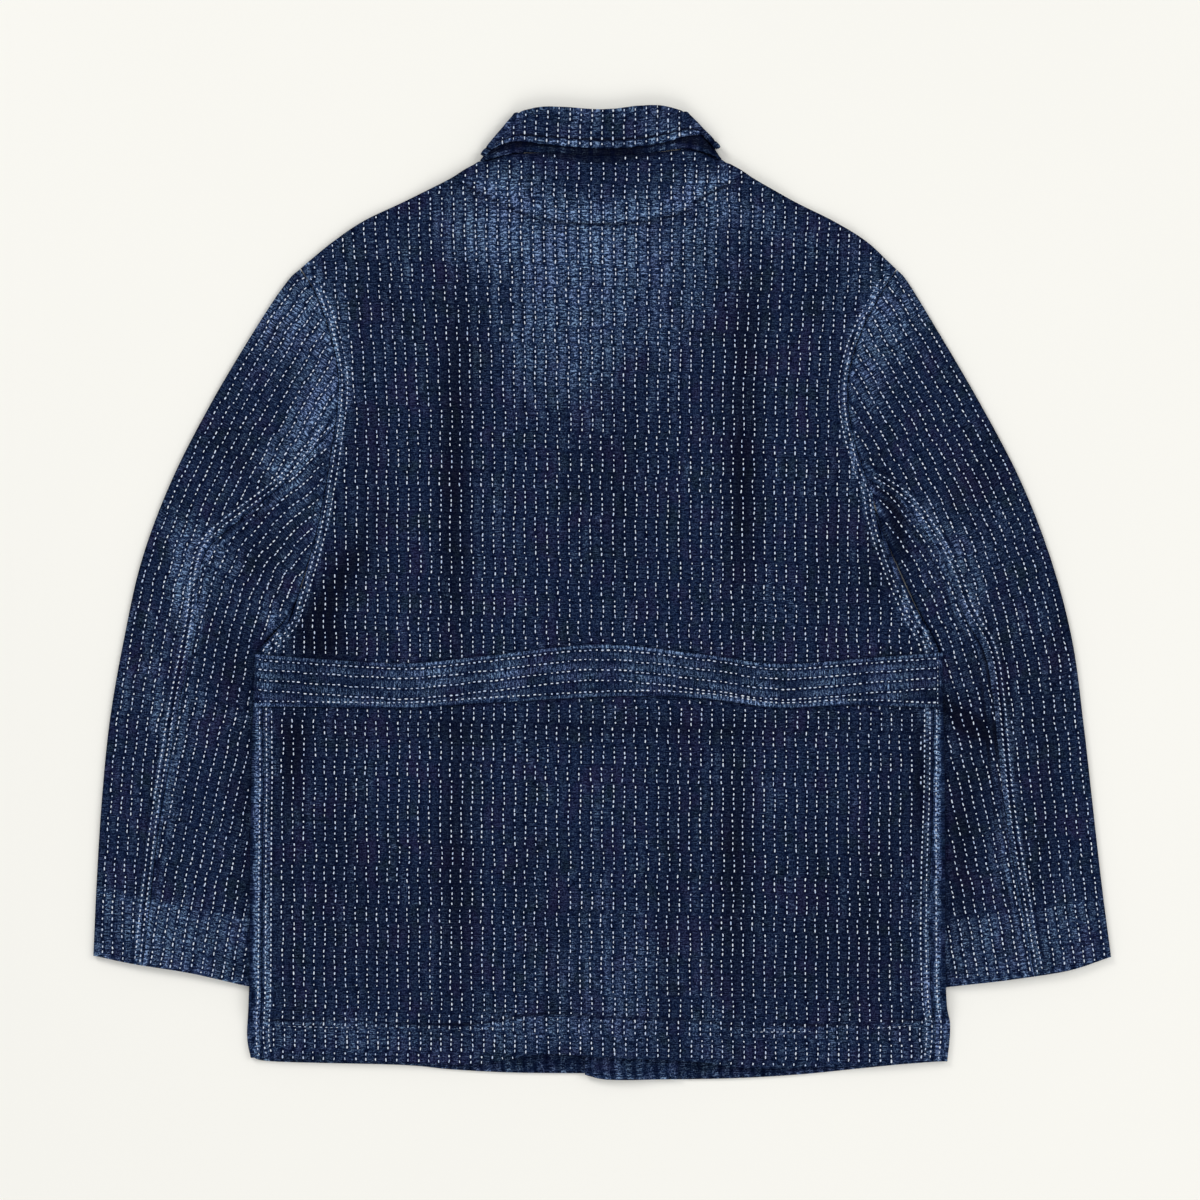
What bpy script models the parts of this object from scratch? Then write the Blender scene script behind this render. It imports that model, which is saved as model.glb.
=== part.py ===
"""A sashiko-stitched indigo work jacket, laid face down on a flat surface.

The back panel is uppermost, the two buttoned fronts lie under it on the surface, and the sleeves are
drawn down beside the body with their inner edges tucked under it. Each panel is an open surface on its
plain inner side, thickened outwards. Lengths below are in millimetres, +X is the wearer's right, +Y is
towards the collar and +Z is up from the surface. A side of -1 is the wearer's left and 1 the right.
"""

import math

import bpy
import numpy as np

MM = 0.001

# Cloth and the spaces between its layers
CLOTH = 1.6
SEAM = 0.4
LAYER_GAP = 0.3
EDGE_AIR = 1.2
INNER_ROLL = EDGE_AIR / 2
EDGE = INNER_ROLL + CLOTH
TUCK_LIFT = 2 * EDGE + 0.5
COLLAR_WALL = 2.2
COLLAR_AIR = 0.6
NECK_LIFT = 3.1
RAISED = 0.7
BELT_AIR = 0.5
WRAP_RAISED = 0.6
SEAM_RAISED = 0.8

# Buttons, under the left front
BUTTON_LINE = 3.0
BUTTON_PLACES = (250.0, 148.0, 46.0, -56.0, -158.0)
BUTTON_PROFILE = [(0.0, 2.7), (6.0, 2.7), (8.2, 2.3), (9.0, 1.4), (8.4, 0.5), (7.2, 0.0), (6.2, 0.0),
                  (5.2, 0.7), (0.0, 0.7)]
BUTTON_STEPS = 14
BUTTON_MERGE = 0.00005

# The outline, from the collar down
SHOULDER = {
    -1: [(-103.7, 348.3), (-112.6, 343.4), (-125.6, 335.3), (-158.8, 319.1), (-192.8, 302.9),
         (-217.0, 286.7), (-236.0, 271.5), (-244.6, 264.0)],
    1: [(101.5, 350.0), (113.4, 343.4), (125.6, 335.3), (154.7, 319.1), (187.1, 302.9),
        (213.8, 286.7), (230.5, 271.5), (239.0, 263.3)],
}
ARMHOLE = {
    -1: [(-244.6, 264.0), (-232.5, 244.6), (-221.0, 213.8), (-214.2, 183.0), (-213.8, 157.0),
         (-218.0, 124.7), (-223.6, 88.3), (-231.7, 47.8), (-244.6, 3.0)],
    1: [(239.0, 263.3), (226.8, 244.6), (211.4, 215.5), (201.5, 186.3), (199.0, 163.6),
        (201.0, 141.0), (206.0, 119.0), (212.0, 100.0), (219.5, 81.0)],
}
SIDE = {
    -1: [(-244.6, 3.0), (-256.5, -21.0), (-269.5, -37.0), (-278.5, -48.0), (-282.0, -75.0),
         (-283.5, -118.3), (-285.1, -207.4), (-285.9, -316.7), (-288.0, -357.2), (-285.1, -376.0)],
    1: [(219.5, 81.0), (226.5, 55.0), (238.0, 25.0), (256.0, -14.6), (272.2, -45.4),
        (276.2, -85.9), (277.8, -166.9), (278.6, -316.7), (282.5, -350.0), (280.3, -379.0)],
}
SLEEVE_OUTER = {
    -1: [(-244.6, 264.0), (-255.2, 253.8), (-277.0, 221.9), (-315.9, 157.1), (-349.1, 92.3),
         (-373.4, 27.5), (-388.0, -37.3), (-399.3, -102.1), (-405.8, -166.9), (-409.9, -231.7),
         (-412.7, -293.5)],
    1: [(239.0, 263.3), (247.5, 254.0), (267.3, 221.9), (305.4, 157.1), (339.4, 92.3),
        (364.5, 27.5), (381.5, -37.3), (390.4, -102.1), (397.7, -166.9), (405.0, -231.7),
        (413.1, -294.5)],
}
SLEEVE_INNER = {
    -1: [(-245.8, 3.5), (-257.6, -20.4), (-270.5, -36.2), (-277.5, -50.0), (-273.0, -72.0),
         (-262.0, -98.0), (-252.0, -130.0), (-247.5, -170.0), (-248.5, -225.0), (-254.0, -280.0),
         (-260.8, -322.4)],
    1: [(220.4, 81.9), (227.4, 55.3), (238.9, 25.4), (256.9, -14.2), (273.0, -46.2),
        (272.0, -68.0), (263.0, -92.0), (254.5, -124.0), (250.5, -168.0), (252.0, -225.0),
        (256.5, -280.0), (261.6, -320.8)],
}
CUFF = {
    -1: [(-412.7, -293.5), (-382.3, -299.7), (-333.7, -307.5), (-285.9, -318.3), (-260.8, -322.4)],
    1: [(413.1, -294.5), (379.1, -305.2), (331.3, -312.7), (298.0, -316.7), (261.6, -320.8)],
}
SLEEVE_SEAM = {
    -1: [(-216.0, 137.0), (-236.5, 114.0), (-260.0, 87.5), (-310.0, 48.6), (-326.0, 25.0),
         (-331.0, -23.5), (-343.4, -88.0), (-352.4, -146.0), (-359.6, -192.0), (-372.6, -305.0)],
    1: [(215.0, 95.0), (245.4, 74.5), (270.5, 42.0), (285.0, 13.0), (294.8, -14.6), (312.0, -45.0),
        (319.0, -85.0), (328.0, -175.0), (337.0, -232.5), (351.0, -312.0)],
}
BACK_NECK = [(-100.4, 350.4), (-93.0, 350.8), (-84.0, 353.5), (-72.0, 356.2), (-45.0, 357.4), (-22.0, 356.0),
             (0.0, 355.4), (22.0, 356.0), (45.0, 358.0), (70.0, 360.0), (82.0, 356.8), (91.5, 352.2),
             (98.2, 352.0)]
FRONT_NECK = {
    -1: [(-100.4, 348.6), (-93.0, 320.0), (-71.0, 292.0), (-38.0, 278.0), (-2.5, 275.0), (20.0, 276.5)],
    1: [(98.2, 350.2), (91.0, 320.0), (70.0, 292.0), (38.0, 278.0), (2.5, 275.0), (-13.8, 276.5)],
}
BACK_HEM = [(-285.1, -376.0), (-265.0, -381.0), (-164.0, -383.5), (-115.0, -385.0), (-91.0, -383.0),
            (-58.0, -377.0), (-34.0, -375.0), (-2.0, -377.5), (63.0, -380.0), (88.0, -382.0),
            (104.0, -385.5), (150.0, -386.0), (209.0, -384.0), (280.3, -379.0)]
FRONT_HEM = {
    -1: [(-285.1, -376.0), (-265.0, -380.0), (-164.0, -382.5), (-123.0, -386.0), (-74.5, -388.5),
         (-14.0, -389.0), (20.0, -389.0)],
    1: [(280.3, -379.0), (241.0, -382.0), (201.0, -386.0), (160.0, -390.0), (108.0, -393.0),
        (50.0, -394.0), (5.0, -394.0), (-13.8, -390.0)],
}

# How far each front reaches over the body's edge onto the back: height, reach
WRAP = {
    -1: [(-11.0, 3.2), (-26.0, 5.0), (-90.0, 8.0), (-150.0, 10.0), (-376.0, 10.5)],
    1: [(40.0, 3.2), (12.0, 5.0), (-30.0, 6.5), (-170.0, 10.0), (-250.0, 13.5), (-379.0, 11.5)],
}
FACING_TOP = 236.0
TUCK_START = {-1: 0.0, 1: 20.0}
TUCK_FULL = -40.0
TUCK_LEAVE = -326.0
TUCK_END = -352.0
TUCK_RAMP = (6.0, 52.0)

# Where the collar's leaves, the buttons and the stacked layers lift what is above them
COLLAR_MIDDLE = 351.0
COLLAR_REACH = (133.0, 150.0)
COLLAR_FADE = 1.24
PLACKET_RAMP = (19.0, 46.0)
PLACKET_FADE = (-186.0, -340.0)
LAP_RAMP = (22.0, 46.0)
STACK_MIDDLE = 23.0
STACK_RAMP = (46.0, 92.0)
STACK_TOP = (290.0, 340.0)
STACK_EASE = 0.5

# How the ease of the cloth dies out towards its edges
SIDE_FADE = 60.0
HEM_FADE = (-394.0, -345.0)
SHOULDER_FADE = (235.0, 330.0)
ARMHOLE_EASE = 1.2
ARMHOLE_FADE = 70.0
SLEEVE_FREE = (4.0, 50.0)
SLEEVE_FADE = 45.0

# Heights at which the rows of the body panels meet the body's sides
ARMHOLE_ROWS = {
    -1: (262.2, 246.0, 222.0, 192.0, 160.0, 126.0, 92.0, 58.0, 28.0, 3.0),
    1: (261.5, 244.0, 216.0, 188.0, 160.0, 132.0, 106.0, 81.0),
}
SIDE_ROWS = {
    -1: (-11.0, -26.0, -42.0, -62.0, -96.0, -146.0, -200.0, -262.0, -326.0, -340.5, -343.5, -360.0,
         -376.0),
    1: (66.0, 40.0, 12.0, -18.0, -44.0, -68.0, -104.0, -160.0, -220.0, -280.0, -328.0, -343.5, -346.5,
        -362.0, -379.0),
}
HEM_ROWS = 3

# Columns of the body panels: distances from the sides, then places across
RIM_COLUMNS = (0.0, 1.0, 2.0, 8.5, 10.0)
BACK_NEAR = (20.0, 32.0, 45.0, 58.0, 72.0, 88.0)
BACK_CENTRE = (-126.0, -101.0, -80.0, -60.0, -42.0, -22.0, 24.0, 68.0, 84.0, 99.0, 126.0)
FRONT_NEAR = (12.0, 24.0, 36.0, 48.0, 60.0, 74.0, 90.0)
FRONT_CENTRE = {
    -1: (-126.0, -101.0, -92.0, -76.0, -56.0, -42.0, -28.0, -16.0, 20.0),
    1: (126.0, 99.0, 91.0, 76.0, 63.0, 44.0, 32.0, 22.0, -13.8),
}
FACING_COLUMNS = 5
TURN_COLUMNS = 7
QUARTER = 82.0
TOP_ANGLES = (39.0, 78.0)
TOP_STEPS = (1.1, 2.0)
TOP_ROWS = 1 + len(TOP_ANGLES)

# Rows of the sleeves: shares of the outer and of the inner edge, armhole to cuff
SLEEVE_ROWS = [(0.0015, 0.0), (0.035, 0.04), (0.085, 0.10), (0.155, 0.18), (0.235, 0.27), (0.32, 0.36),
               (0.405, 0.45), (0.49, 0.54), (0.58, 0.63), (0.67, 0.71), (0.76, 0.78), (0.84, 0.835),
               (0.914, 0.848), (0.919, 0.857), (1.0, 1.0)]
CUFF_ROWS = 2
UNDER_SEAM = (0.66, 0.72)
LEAST_COLUMNS = 4
SEAM_RIMS = (0.0, 7.0, 8.5)
SLEEVE_TURN = (144.0, 108.0, 72.0, 36.0)
CUFF_RAMP = (2.0, 10.0)
BOW_FADE = 3
CORNER_POWER = 24
MET_MARGIN = 0.03
MET_REACH = 0.2
SEAM_TRIES = 193
SEAM_MARGIN = 0.02
PLAN_STEPS = 101

# The belt across the back waist
BELT_TOP = [(-279.0, -48.5), (-265.7, -50.0), (-190.0, -55.0), (-150.0, -56.0), (-91.5, -50.0),
            (-1.6, -41.0), (85.0, -49.4), (143.4, -56.7), (215.5, -51.8), (272.6, -47.5)]
BELT_FOOT = [(-280.3, -92.0), (-271.0, -91.0), (-164.0, -92.3), (-92.0, -88.3), (14.6, -82.6),
             (85.0, -85.0), (143.4, -92.3), (201.0, -90.0), (274.0, -92.3)]

BELT_SHARES = (0.0, 0.08, 0.115, 0.5, 0.885, 0.92, 1.0)
BELT_RAISED = (1.0, 1.0, 0.0, 0.0, 0.0, 1.0, 1.0)
BELT_LEVEL = -60.0
BELT_ENDS = {-1: -1.5, 1: 1.2}
BELT_ZONE = (-112.0, -25.0)

# Soft folds: start, end, half width, height; a trough has a negative height
BACK_FOLDS = [
    ((-107, 180), (-104, -20), 26, -1.0),
    ((-104, -100), (-112, -330), 26, -1.0),
    ((104, 170), (106, -30), 24, -1.0),
    ((108, -100), (104, -330), 26, -1.0),
    ((-176, 230), (-204, 60), 20, -0.9),
    ((-204, 60), (-244, -60), 16, -0.9),
    ((-150, 300), (-186, 262), 16, -0.8),
    ((165, 235), (214, 262), 14, -0.8),
    ((-60, 250), (-55, 60), 30, 1.1),
    ((40, 260), (45, 60), 34, 1.1),
    ((-160, 120), (-160, -20), 22, 0.8),
    ((160, 150), (165, -20), 26, 0.9),
    ((-170, -120), (-185, -330), 30, 0.9),
    ((-20, -120), (-20, -360), 40, 1.0),
    ((185, -120), (190, -330), 34, 0.9),
]
SLEEVE_FOLDS = {
    -1: [((-232, 214), (-300, 150), 16, 0.8), ((-300, 60), (-350, -20), 20, 1.1),
         ((-250, 60), (-310, -10), 14, -1.0), ((-345, 30), (-352, -60), 16, -0.9),
         ((-300, -90), (-330, -250), 22, 0.8), ((-380, -60), (-392, -220), 14, 0.7)],
    1: [((230, 210), (300, 130), 18, 0.8), ((236, 96), (262, 20), 12, -1.3),
        ((300, 40), (335, -40), 20, 1.1), ((276, -80), (312, -112), 10, -1.2),
        ((320, -60), (345, -230), 22, 0.8), ((370, -60), (385, -220), 16, -0.7)],
}
FOLD_LOW = -1.5
FOLD_HIGH = 1.1
EASE = 1.3
FOLD_START = (-0.3, 0.25)
FOLD_STOP = (0.75, 1.3)

# The collar: for each station the ends of its stand, its top fold and its leaf, seen from above
COLLAR_BACK = [
    ((-90.0, 353.4), (-62.0, 389.5), (-89.0, 360.0)),
    ((-68.0, 358.6), (-47.0, 392.3), (-70.0, 367.5)),
    ((-45.0, 358.3), (-31.0, 392.0), (-47.0, 366.0)),
    ((-22.0, 356.8), (-15.0, 390.8), (-23.0, 363.8)),
    ((0.0, 356.2), (0.0, 390.0), (0.0, 362.8)),
    ((22.0, 356.8), (15.0, 391.3), (23.0, 363.6)),
    ((45.0, 359.2), (31.0, 393.0), (47.0, 366.8)),
    ((68.0, 361.9), (47.0, 393.3), (69.0, 371.8)),
    ((88.0, 356.8), (62.0, 390.0), (86.0, 370.5)),
]
COLLAR_TURN = {-1: ((-95.6, 351.9), (-67.0, 387.2), (-94.2, 354.6)),
               1: ((93.6, 353.2), (65.5, 388.0), (92.0, 360.5))}
TURN_ANGLES = (90, 45, 0, -45, -90)
COLLAR_FRONT = [
    ((92.5, 341.0), (66.0, 378.0), (104.0, 340.0)),
    ((87.0, 322.0), (65.0, 350.0), (110.0, 312.0)),
    ((75.0, 303.0), (57.0, 329.0), (104.0, 279.0)),
    ((58.0, 290.0), (45.0, 314.0), (88.0, 249.0)),
    ((36.0, 281.5), (28.0, 304.0), (68.0, 227.0)),
    ((2.6, 278.5), (2.6, 297.0), (49.0, 213.0)),
]
STAND_SHARES = (0.0, 0.5)
LEAF_SHARES = (0.4, 0.86, 1.0)
COLLAR_LEAN = 0.25
COLLAR_BEND = 6


def smooth(low, high, value):
    """0 at low, 1 at high, and an even S between them; low may be the greater."""
    share = np.clip((np.asarray(value, float) - low) / (high - low), 0, 1)
    return share * share * (3 - 2 * share)


def curve(points, steps=16):
    """A smooth curve through the points, as closely spaced points."""
    p = np.asarray(points, float)
    p = np.vstack([2 * p[0] - p[1], p, 2 * p[-1] - p[-2]])
    t = np.linspace(0, 1, steps, endpoint=False)[:, None]
    pieces = []
    for a, b, c, d in zip(p[:-3], p[1:-2], p[2:-1], p[3:]):
        pieces.append(0.5 * (2 * b + (c - a) * t + (2 * a - 5 * b + 4 * c - d) * t**2
                             + (3 * b - a - 3 * c + d) * t**3))
    pieces.append(p[-2:-1])
    return np.vstack(pieces)


def at(line, share):
    """The points of a line at these shares of its length."""
    run = np.concatenate([[0], np.cumsum(np.linalg.norm(np.diff(line, axis=0), axis=1))])
    share = np.asarray(share, float) * run[-1]
    return np.stack([np.interp(share, run, line[:, i]) for i in range(line.shape[1])], axis=-1)


def x_at(line, y):
    """The X at heights y of a line that falls steadily."""
    return np.interp(-np.asarray(y, float), -line[:, 1], line[:, 0])


def y_at(line, x):
    """The Y at places x of a line that runs steadily across."""
    order = 1 if line[-1, 0] > line[0, 0] else -1
    return np.interp(order * np.asarray(x, float), order * line[:, 0], line[:, 1])


def inset(line, side, depth):
    """A line moved towards the inside of what it bounds: side 1 is to the right of its run."""
    along = np.gradient(line, axis=0)
    along /= np.linalg.norm(along, axis=1)[:, None]
    return line + depth * side * np.stack([along[:, 1], -along[:, 0]], axis=-1)


def between(start, end, first, last, u, v, fade=1):
    """Points between four edges: start and end at u 0 and 1, first and last at v 0 and 1.

    A fade over 1 makes the bow of the first edge die out sooner.
    """
    u, v = np.atleast_2d(u)[..., None], np.asarray(v)[:, None, None]
    straight = (1 - u) * start[:, None] + u * end[:, None]
    first_bow = first - ((1 - u) * start[0] + u * end[0])
    last_bow = last - ((1 - u) * start[-1] + u * end[-1])
    return straight + (1 - v) ** fade * first_bow + v * last_bow


SIDES = {side: curve(SIDE[side]) for side in (-1, 1)}
INNERS = {side: curve(SLEEVE_INNER[side]) for side in (-1, 1)}
BODY = {side: np.vstack([curve(ARMHOLE[side]), SIDES[side][1:]]) for side in (-1, 1)}


def wrap_at(side, y):
    """How far the front reaches over the body's edge onto the back, at the heights y."""
    table = np.array(WRAP[side])
    return np.interp(-np.asarray(y, float), -table[:, 0], table[:, 1])


def tuck_lift(x, y):
    """How high a sleeve's tucked inner edge holds the body off the surface."""
    total = 0.0
    for side in (-1, 1):
        edge = x_at(SIDES[side], y)
        overlap = np.maximum(0, side * (edge - x_at(INNERS[side], y)))
        inside = side * (edge - x)
        along = smooth(TUCK_START[side], TUCK_FULL, y) * (1 - smooth(TUCK_LEAVE, TUCK_END, y))
        total = total + along * (1 - smooth(overlap + TUCK_RAMP[0], overlap + TUCK_RAMP[1], inside))
    return TUCK_LIFT * total


def placket_lift(x, y):
    """How high the collar's leaves and the buttons hold the fronts off the surface."""
    from_middle = np.hypot(x / COLLAR_REACH[0], (y - COLLAR_MIDDLE) / COLLAR_REACH[1])
    over_collar = 1 - smooth(1.0, COLLAR_FADE, from_middle)
    along = 1 - smooth(*PLACKET_FADE, y)
    over_buttons = (1 - smooth(*PLACKET_RAMP, np.abs(x - BUTTON_LINE))) * along
    return NECK_LIFT * np.maximum(over_collar, over_buttons)


def front_inside(side, x, y):
    """The upper face of a front panel, which is its plain inner side."""
    height = tuck_lift(x, y) + placket_lift(x, y) + CLOTH
    if side == 1:
        height = height + (CLOTH + LAYER_GAP) * (1 - smooth(*LAP_RAMP, x))
    return height


def folds(table, x, y):
    """The height that a table of soft folds adds at (x, y)."""
    total = np.zeros(np.broadcast(x, y).shape)
    for (x0, y0), (x1, y1), width, height in table:
        span = math.hypot(x1 - x0, y1 - y0)
        along = ((x - x0) * (x1 - x0) + (y - y0) * (y1 - y0)) / span
        across = ((x - x0) * (y1 - y0) - (y - y0) * (x1 - x0)) / span
        place = along / span
        ends = smooth(*FOLD_START, place) * (1 - smooth(*FOLD_STOP, place))
        total += height * ends * np.exp(-((across / width) ** 2))
    return np.clip(total, FOLD_LOW, FOLD_HIGH)


def armhole_ease(side, y):
    """How far the cloth stands clear of the layer below it along the armhole."""
    top = ARMHOLE[side][0][1]
    foot = ARMHOLE[side][-1][1]
    return ARMHOLE_EASE * smooth(top, top - ARMHOLE_FADE, y) * smooth(foot, foot + ARMHOLE_FADE, y)


def back_inside(x, y):
    """The lower face of the back panel, which is its plain inner side."""
    stacked = (1 - smooth(*STACK_RAMP, np.abs(x - STACK_MIDDLE))) * (1 - smooth(*STACK_TOP, y))
    inside = np.minimum(x - x_at(BODY[-1], y), x_at(BODY[1], y) - x)
    middle = smooth(0, SIDE_FADE, inside)
    lengthwise = smooth(*HEM_FADE, y) * (1 - smooth(*SHOULDER_FADE, y))
    ease = middle * lengthwise * (EASE + folds(BACK_FOLDS, x, y)) * (1 - STACK_EASE * stacked)
    ease = ease + (1 - middle) * np.where(x < 0, armhole_ease(-1, y), armhole_ease(1, y))
    layers = CLOTH + 2 * (CLOTH + LAYER_GAP) * stacked
    return tuck_lift(x, y) + placket_lift(x, y) + layers + EDGE_AIR + ease


def paint(name, colour, roughness):
    """A plain finish."""
    made = bpy.data.materials.new(name)
    made.use_nodes = True
    shader = made.node_tree.nodes["Principled BSDF"]
    shader.inputs["Base Color"].default_value = (*colour, 1)
    shader.inputs["Roughness"].default_value = roughness
    shader.inputs["Metallic"].default_value = 0
    return made


def cloth(name, grid, outside, colour, thickness=CLOTH, raised=None):
    """A panel: an open surface through a grid on its plain inner side, thickened to its outer side.

    outside is the direction in which the outer side of the grid's middle face looks. raised gives the
    share of RAISED by which the outer side stands proud at each point.
    """
    rows, columns = grid.shape[:2]
    index = np.arange(rows * columns).reshape(rows, columns)
    faces = np.stack([index[:-1, :-1], index[:-1, 1:], index[1:, 1:], index[1:, :-1]], axis=-1)
    i, j = (rows - 1) // 2, (columns - 1) // 2
    looks = np.cross(grid[i, j + 1] - grid[i, j], grid[i + 1, j] - grid[i, j])
    if np.dot(looks, outside) < 0:
        faces = faces[..., ::-1]
    mesh = bpy.data.meshes.new(name)
    mesh.from_pydata((grid.reshape(-1, 3) * MM).tolist(), [], faces.reshape(-1, 4).tolist())
    mesh.shade_smooth()
    mesh.materials.append(colour)
    part = bpy.data.objects.new(name, mesh)
    garment.objects.link(part)
    solidify = part.modifiers.new("Cloth", "SOLIDIFY")
    solidify.offset = 1
    solidify.thickness = thickness * MM
    if raised is not None:
        group = part.vertex_groups.new(name="raised")
        for point, share in enumerate(np.ravel(raised)):
            group.add([point], float(share), "REPLACE")
        solidify.thickness = (thickness + RAISED) * MM
        solidify.vertex_group = "raised"
        solidify.thickness_vertex_group = thickness / (thickness + RAISED)
    return part


def roll(axis, away, flat, turn, angles):
    """Points round the inner side of a rolled edge, from its flat face at height flat, up or down.

    axis is the middle of the roll in plan, away points out of the cloth and turn is 1 up or -1 down.
    """
    points = []
    for angle in np.radians(angles):
        out = np.asarray(axis) + INNER_ROLL * math.sin(angle) * np.asarray(away)
        points.append((*out, flat + turn * INNER_ROLL * (1 - math.cos(angle))))
    return np.array(points)


def edge_points(side):
    """The points where the rows of a body panel meet its outline, and how many are on the armhole."""
    y = np.array(ARMHOLE_ROWS[side] + SIDE_ROWS[side])
    return np.column_stack([x_at(BODY[side], y), y]), len(ARMHOLE_ROWS[side])


def across(line, start, end, u):
    """The points of a line that runs across, at the shares u of the way in X from start to end."""
    x = start[0] + u * (end[0] - start[0])
    bow = y_at(line, x)
    lean = (1 - u) * (start[1] - y_at(line, start[0])) + u * (end[1] - y_at(line, end[0]))
    return np.stack([x, bow + lean], axis=-1)


def in_belt(grid):
    """Which points of a panel lie under the belt or close to it, where no ridge stands proud."""
    return (grid[..., 1] > BELT_ZONE[0]) & (grid[..., 1] < BELT_ZONE[1])


def top_rows(flat, heights, rolled, turn):
    """Two more rows beyond the first: a quarter roll along the shoulder, and flat along the neck."""
    along = np.gradient(flat[0], axis=0)
    along /= np.linalg.norm(along, axis=1)[:, None]
    away = np.column_stack([-along[:, 1], along[:, 0]])
    inward = flat[1] - flat[0]
    away *= -np.sign((away * inward).sum(axis=1))[:, None]
    rows = np.zeros((len(TOP_ANGLES), flat.shape[1], 3))
    for j, is_rolled in enumerate(rolled):
        if is_rolled:
            rows[:, j] = roll(flat[0, j], away[j], heights[0, j], turn, TOP_ANGLES)
        else:
            for k, step in enumerate(TOP_STEPS):
                rows[k, j] = (*(flat[0, j] + step * away[j]), heights[0, j])
    return rows[::-1]


def row_shares():
    """How far down the body each row of its panels lies, as a share, the same for both sides."""
    shares = []
    for side in (-1, 1):
        y = np.array(ARMHOLE_ROWS[side] + SIDE_ROWS[side])
        shares.append((y[0] - y) / (y[0] - y[-1]))
    return (shares[0] + shares[1]) / 2


def front_panel(side):
    """One front, from its centre edge to the side seam, where it has turned up over the body's edge."""
    edge, free = edge_points(side)
    rows = len(edge)
    shoulder = inset(curve(SHOULDER[side]), side, EDGE)[::-1]
    neck = inset(curve(FRONT_NECK[side]), -side, TOP_STEPS[-1])
    top = np.vstack([shoulder, neck[1:]])
    top[:, 0] = -side * np.maximum.accumulate(-side * top[:, 0])
    hem = curve(FRONT_HEM[side])
    down = row_shares()
    start = edge - np.outer(np.where(np.arange(rows) < free, SEAM / 2, EDGE), [side, 0])
    centre = FRONT_CENTRE[side]
    end = np.column_stack([np.full(rows, centre[-1]), top[-1, 1] + down * (hem[-1, 1] - top[-1, 1])])
    width = np.abs(end[:, 0] - start[:, 0])[:, None]
    near = np.array(FRONT_NEAR) / width
    rim = np.where(np.arange(rows)[:, None] < free, np.arange(TURN_COLUMNS + 1) / width, 0.0)
    u = np.hstack([rim, near, np.abs(np.array(centre) - start[:, :1]) / width])
    flat = between(start, end, across(top, start[0], end[0], u), across(hem, start[-1], end[-1], u),
                   u, down)
    flat[0, :, 1] = y_at(top, flat[0, :, 0])
    grid = np.dstack([flat, front_inside(side, flat[..., 0], flat[..., 1])])
    for i in range(free, rows):
        turned = grid[i, : TURN_COLUMNS + 1]
        angles = np.linspace(180, 0, TURN_COLUMNS - 1)
        if i == free:
            angles = np.linspace(QUARTER, 0, TURN_COLUMNS + 1)
        rolled = roll(start[i], (side, 0), turned[-1, 2], 1, angles)
        turned[-len(rolled):] = rolled
        if i > free:
            reach = wrap_at(side, start[i, 1]) - EDGE
            for k, share in enumerate((1.0, 0.5)):
                x = start[i, 0] - side * reach * share
                turned[k] = (x, start[i, 1], back_inside(x, start[i, 1]))
    rolled = side * flat[0, :, 0] > side * FRONT_NECK[side][0][0] - 1
    grid = np.vstack([top_rows(flat, grid[..., 2], rolled, 1), grid])
    raised = np.zeros(grid.shape[:2])
    raised[free + TOP_ROWS :, :2] = WRAP_RAISED
    raised[in_belt(grid)] = 0
    return grid, raised


def back_panel():
    """The back: one piece from neck to hem, rolled down over the shoulders, with a turned hem."""
    points = {side: edge_points(side) for side in (-1, 1)}
    rows = len(points[1][0])
    index = np.arange(rows)
    start = {}
    for side, (edge, free) in points.items():
        depth = np.where(index < free, SEAM / 2, wrap_at(side, edge[:, 1]) + SEAM)
        depth[free] = EDGE
        start[side] = edge - np.outer(depth, [side, 0])
    left, right = start[-1], start[1]
    shoulders = [inset(curve(SHOULDER[-1]), -1, EDGE)[::-1], inset(curve(SHOULDER[1]), 1, EDGE)]
    neck = inset(curve(BACK_NECK), 1, TOP_STEPS[-1] + SEAM / 2)
    top = np.vstack([shoulders[0], neck[1:-1], shoulders[1]])
    top[:, 0] = np.maximum.accumulate(top[:, 0])
    hem = curve(BACK_HEM)
    down = row_shares()
    width = (right[:, 0] - left[:, 0])[:, None]
    near = np.array(RIM_COLUMNS + BACK_NEAR) / width
    centre = (np.array(BACK_CENTRE) - left[:, :1]) / width
    u = np.hstack([near, centre, 1 - near[:, ::-1]])
    flat = between(left, right, across(top, left[0], right[0], u), across(hem, left[-1], right[-1], u),
                   u, down)
    flat[0, :, 1] = y_at(top, flat[0, :, 0])
    grid = np.dstack([flat, back_inside(flat[..., 0], flat[..., 1])])
    for side, columns in ((-1, (0, 1)), (1, (-1, -2))):
        free = points[side][1]
        level = back_inside(start[side][free, 0], start[side][free, 1])
        rolled = roll(start[side][free], (side, 0), level, -1, (QUARTER, QUARTER / 2))
        grid[free, columns[0]], grid[free, columns[1]] = rolled
    rolled = (flat[0, :, 0] < BACK_NECK[0][0] + 1) | (flat[0, :, 0] > BACK_NECK[-1][0] - 1)
    grid = np.vstack([top_rows(flat, grid[..., 2], rolled, -1), grid])
    raised = np.zeros(grid.shape[:2])
    raised[:, : len(RIM_COLUMNS) - 1] = 1
    raised[:, 1 - len(RIM_COLUMNS) :] = 1
    raised[in_belt(grid)] = 0
    raised[:TOP_ROWS] = 0
    raised[-HEM_ROWS:] = 1
    return grid, raised


def seam_shares(rows, seam):
    """The share of each row's length at which it crosses a seam's line."""
    shares = np.linspace(SEAM_MARGIN, 1 - SEAM_MARGIN, SEAM_TRIES)
    found = []
    for row in rows:
        points = at(row, shares)
        away = np.linalg.norm(points[:, None] - seam[None], axis=2).min(axis=1)
        found.append(shares[np.argmin(away)])
    return np.array(found)


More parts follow.
